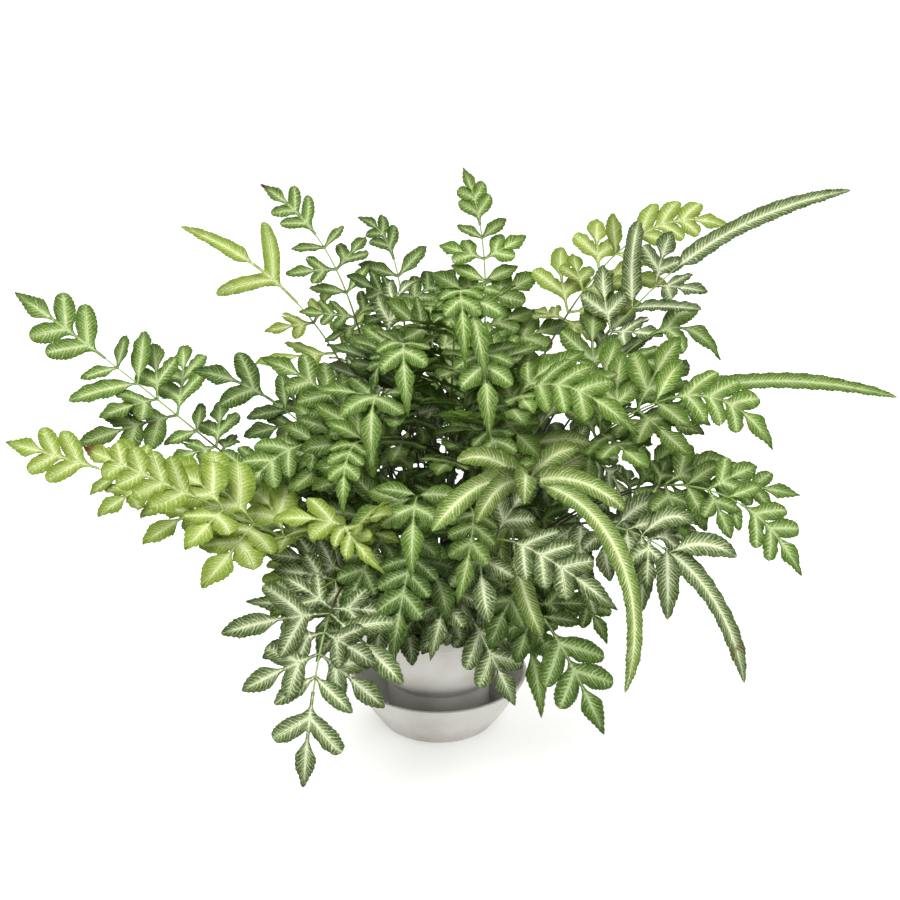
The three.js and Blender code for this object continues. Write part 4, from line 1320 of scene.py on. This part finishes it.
def pot_outline():
    p = POT
    bottom = SAUCER.floor + CLEARANCE
    corners_in_turn = [(0, bottom), (p.foot, bottom), (p.foot, p.belly_z - p.step),
                       *pot_wall(0, True), (p.rim, p.top - p.lip), (p.rim, p.top),
                       (p.rim - p.wall, p.top), *pot_wall(p.wall, False),
                       (p.foot - p.wall, p.belly_z - p.step + 1),
                       (p.foot - p.wall, bottom + p.floor), (0, bottom + p.floor)]
    return rounded(corners_in_turn, 0.9)


def saucer_outline():
    s = SAUCER
    outside = curve((s.base, 0), s.bulge, (s.rim, s.height))
    inside = curve((s.rim - s.wall, s.height),
                   (s.bulge[0] - s.wall, s.bulge[1] + s.wall), (s.base - 1, s.floor))
    return rounded([(0, 0), *outside, *inside, (0, s.floor)], 0.9)


print("outline points: pot", len(pot_outline()), "saucer", len(saucer_outline()))

# %% [markdown]
# The plastic is off-white and slightly waxy. Its surface has a very fine orange-peel grain from the
# mould, a faint change of tone from handling, and a brown mottle that makes it darker towards the
# bottom, drawn by height alone.

# %% Plastic
def plastic_colour(tree):
    clean = mottled(srgb(172, 169, 162), srgb(194, 192, 187), 0.03)(tree)
    place = add(tree, "TexCoord").outputs["Object"]
    # a brown mottle that makes the plastic darker towards the bottom, set by height alone
    low = height_of(tree, place).remap(0.016, 0.0, 0.0, 1.0)
    darker_towards_bottom = low * mottle(tree, 0.004, 6.0)
    return mix(tree, darker_towards_bottom * 0.3, clean, srgb(150, 138, 120))


PLASTIC = principled("off_white_plastic", plastic_colour, mottle_value(0.003, 0.36, 0.5),
                     bumped(mottle_value(0.0009), 0.12, 0.0002))

pot = turned("pot_fine", pot_outline(), PLASTIC)
saucer = turned("saucer_fine", saucer_outline(), PLASTIC)
for piece, node in ((pot, "pot"), (saucer, "saucer")):
    belongs(piece, node)
print("pot", len(pot.data.polygons), "saucer", len(saucer.data.polygons))

# %% [markdown]
# ## Soil
#
# Peat soil is a dark bed of crumbs with some white grains of perlite. The bed is a turned shape whose
# top is roughened by a formula. Geometry Nodes scatter the crumbs on it, because they repeat: points on
# the upper faces, an uneven lump on each, turned and sized at random with a fixed seed.

# %% The bed of soil
SOIL = Facts(top=66, edge=40, mound=1.2, lumps=1.2)


def soil_outline():
    inset = POT.wall + CLEARANCE
    bottom = SAUCER.floor + POT.floor + 2 * CLEARANCE
    top = [(r, SOIL.top + SOIL.mound * (1 - r / 50) + 0.4) for r in range(48, 1, -2)]
    return [(0, bottom), (POT.foot - inset, bottom), (POT.foot - inset, POT.belly_z - POT.step),
            *pot_wall(inset, True), *top, (0, SOIL.top + SOIL.mound)]


def soil_colour(tree):
    dark = mottled(srgb(20, 15, 11), srgb(52, 40, 29), 0.002, 5.0)(tree)
    return mix(tree, mottle(tree, 0.012, 2.0), dark, srgb(30, 23, 17))


SOIL_MATERIAL = principled("peat_soil", soil_colour, mottle_value(0.002, 0.85, 1.0),
                           bumped(mottle_value(0.0015, grain=8.0), 0.8, 0.0008))
PERLITE = principled("perlite", mottled(srgb(190, 186, 176), srgb(226, 224, 216), 0.001),
                     mottle_value(0.001, 0.8, 0.95), bumped(mottle_value(0.0006), 0.6, 0.0003))

soil = turned("soil_fine", soil_outline(), SOIL_MATERIAL)
rng = np.random.default_rng(7)
places = np.zeros(len(soil.data.vertices) * 3)
soil.data.vertices.foreach_get("co", places)
places = places.reshape(-1, 3)
inner = (np.hypot(places[:, 0], places[:, 1]) < 48.5 * MM) & (places[:, 2] > (SOIL.top - 1) * MM)
x, y = places[:, 0] / MM, places[:, 1] / MM
lumps = SOIL.lumps * np.sin(0.31 * x + 1) * np.cos(0.27 * y - 0.4) + rng.uniform(-0.5, 0.5, len(x))
places[:, 2] += inner * lumps * MM
soil.data.vertices.foreach_set("co", places.ravel())
print("soil", len(soil.data.polygons), "faces,", int(inner.sum()), "points roughened")

# %% [markdown]
# Each crumb is a small ball, stretched and turned at random, and dented by a noise so that no two look
# alike.

# %% Crumbs and perlite by Geometry Nodes
STRETCH = ((0.7, 0.6, 0.45), (1.3, 1.1, 0.9))
DENTS, DENT_DEPTH = 900.0, 0.0009


def crumb_tree():
    tree, inputs, outputs = new_group(
        "Scatter crumbs", "GeometryNodeTree",
        [("Geometry", "Geometry", None), ("Density", "Float", 1e5),
         ("Smallest", "Float", 0.0005), ("Largest", "Float", 0.0015),
         ("Lowest", "Float", 0.06), ("Detail", "Int", 2), ("Seed", "Int", 1),
         ("Material", "Material", None)],
        [("Geometry", "Geometry")])
    normal = add(tree, "InputNormal").outputs[0]
    place = add(tree, "InputPosition").outputs[0]
    faces_up = height_of(tree, normal) > 0.3
    high = height_of(tree, place) > inputs["Lowest"]
    points = add(tree, "DistributePointsOnFaces",
                 {"Mesh": inputs["Geometry"], "Selection": faces_up * high,
                  "Density": inputs["Density"], "Seed": inputs["Seed"]})
    lump = add(tree, "MeshIcoSphere", {"Radius": 1.0, "Subdivisions": inputs["Detail"]})

    def draw(kind, first, low, high):
        return add(tree, "FunctionNodeRandomValue", {first: low, first + 1: high, "Seed": inputs["Seed"]},
                   data_type=kind).outputs[first // 2]

    size = draw("FLOAT", 2, inputs["Smallest"], inputs["Largest"])
    turn = draw("FLOAT_VECTOR", 0, (0, 0, 0), (TURN, TURN, TURN))
    stretch = draw("FLOAT_VECTOR", 0, *STRETCH)
    scale = add(tree, "ShaderNodeVectorMath", {0: stretch, "Scale": size}, operation="SCALE")
    copies = add(tree, "InstanceOnPoints",
                 {"Points": points.outputs[0], "Instance": lump.outputs[0], "Rotation": turn,
                  "Scale": scale.outputs[0]})
    real = add(tree, "RealizeInstances", {0: copies.outputs[0]})
    noise = add(tree, "ShaderNodeTexNoise", {"Scale": DENTS, "Detail": 1.0})
    centred = add(tree, "ShaderNodeVectorMath", {0: noise.outputs["Color"], 1: (0.5, 0.5, 0.5)},
                  operation="SUBTRACT")
    push = add(tree, "ShaderNodeVectorMath", {0: centred.outputs[0], "Scale": DENT_DEPTH},
               operation="SCALE")
    uneven = add(tree, "SetPosition", {"Geometry": real.outputs[0], "Offset": push.outputs[0]})
    dressed = add(tree, "SetMaterial",
                  {"Geometry": uneven.outputs[0], "Material": inputs["Material"]})
    fill(tree, outputs["Geometry"], dressed.outputs[0])
    return tree


SCATTER_CRUMBS = crumb_tree()


def crumbs(name, material, **sizes):
    piece = placed(name, soil.data.copy())
    apply_tree(piece, SCATTER_CRUMBS, Material=material, Lowest=(SOIL.top - 1.5) * MM, **sizes)
    piece.data.materials.clear()
    piece.data.materials.append(material)
    print(name, len(piece.data.polygons), "faces")
    return piece


SOIL_BITS = [
    crumbs(name, material, Density=density, Smallest=low, Largest=high, Detail=detail, Seed=seed)
    for name, material, density, low, high, detail, seed in (
        ("soil_crumbs", SOIL_MATERIAL, 190000.0, 0.0005, 0.0014, 1, 3),
        ("soil_lumps", SOIL_MATERIAL, 14000.0, 0.0016, 0.003, 2, 5),
        ("perlite_grains", PERLITE, 8000.0, 0.0005, 0.0011, 2, 8),
    )
]
belongs(soil, "soil")
for piece in SOIL_BITS:
    belongs(piece)

# %% [markdown]
# ## Crown and stalks
#
# The stalks are wiry and nearly black at the foot, and turn brown-green near the leaf. They follow the
# same ways as the fronds, so the tree that grows ribs grows them too, from edges alone. The crown is a
# short dark rhizome, a lumpy dome that every stalk springs from.

# %% Stalks
def stalk_colour(tree):
    along = attribute(tree, "along")
    foot = mottled(srgb(24, 15, 11), srgb(46, 30, 20), 0.004)(tree)
    return mix(tree, along.remap(0.55, 1.0), foot, srgb(58, 56, 30))


STALK = principled("stalk", stalk_colour, mottle_value(0.002, 0.3, 0.48),
                   bumped(mottle_value(0.0012), 0.3, 0.0002))

STALK_POINTS, STALK_THICK = 18, (0.82, 0.6)
CROWN = Facts(radius=15.0, depth=13.0, rings=14, sides=40)


def add_stalk(sheet, frond):
    share = np.linspace(0.0, frond.plan.blade, STALK_POINTS)
    sheet.ribs.append((frond.way.at(share), np.linspace(*STALK_THICK, STALK_POINTS),
                       np.linspace(0, 1, STALK_POINTS), 0.5))


def add_crown(sheet):
    """The rhizome as a lumpy dome, in the same sheet as the stalks."""
    rings, sides, depth = CROWN.rings, CROWN.sides, CROWN.depth
    polar = np.linspace(0.02, 0.98, rings)[:, None] * math.pi
    azimuth = np.arange(sides)[None] * 2 * math.pi / sides
    bumps = 1 + 0.05 * np.sin(3 * azimuth + 2 * polar) + 0.04 * np.sin(7 * azimuth - 3 * polar)
    r = CROWN.radius * np.sin(polar) ** 0.8 * bumps
    z = CROWN_TOP - depth / 2 + depth / 2 * np.cos(polar) * (0.96 + 0.04 * np.sin(5 * azimuth))
    points = np.stack([r * np.cos(azimuth), r * np.sin(azimuth), z], -1).reshape(-1, 3)
    start = sheet.add_points(points, np.zeros((len(points), len(NUMBERS))))
    poles = np.array([(0, 0, CROWN_TOP), (0, 0, CROWN_TOP - depth)])
    pole = sheet.add_points(poles, np.zeros((2, len(NUMBERS))))
    grid = np.arange(rings * sides).reshape(rings, sides) + start
    after = np.roll(grid, -1, 1)
    high, low = np.full(sides, pole), np.full(sides, pole + 1)
    sheet.faces += [np.stack([grid[:-1], grid[1:], after[1:], after[:-1]], -1).reshape(-1, 4),
                    np.stack([high, grid[0], after[0]], 1),
                    np.stack([low, after[-1], grid[-1]], 1)]


sheet = Sheet()
for frond in fronds + young_fronds:
    add_stalk(sheet, frond)
add_crown(sheet)
crown = sheet_object("crown_and_stalks_fine", sheet)
crown.data.materials.append(STALK)
apply_tree(crown, GROW_RIBS, Sides=8, Girth=1.0, Material=STALK)
belongs(crown, "crown_and_stalks")
print("crown and stalks", len(crown.data.polygons), "faces")

# %% [markdown]
# ## Floor
#
# A plain pale floor catches a soft shadow. It is a stage, not part of the object.

# %% Floor
FLOOR, FLOOR_GLOW = 60.0, 0.22
floor_mesh = bpy.data.meshes.new("floor")
floor_mesh.from_pydata([(x * FLOOR, y * FLOOR, 0) for x, y in ((-1, -1), (1, -1), (1, 1), (-1, 1))], [],
                       [(0, 1, 2, 3)])
floor = placed("floor", floor_mesh)
FLOOR_PAINT = principled("floor_paint", mottled(srgb(240, 240, 239), srgb(244, 244, 243), 0.4),
                         mottle_value(0.1, 0.8, 0.9))
floor_shader = FLOOR_PAINT.node_tree.nodes["Principled BSDF"]
floor_shader.inputs["Emission Color"].default_value = (1, 1, 1, 1)
floor_shader.inputs["Emission Strength"].default_value = FLOOR_GLOW
floor_mesh.materials.append(FLOOR_PAINT)
print("floor", 2 * FLOOR, "m wide")
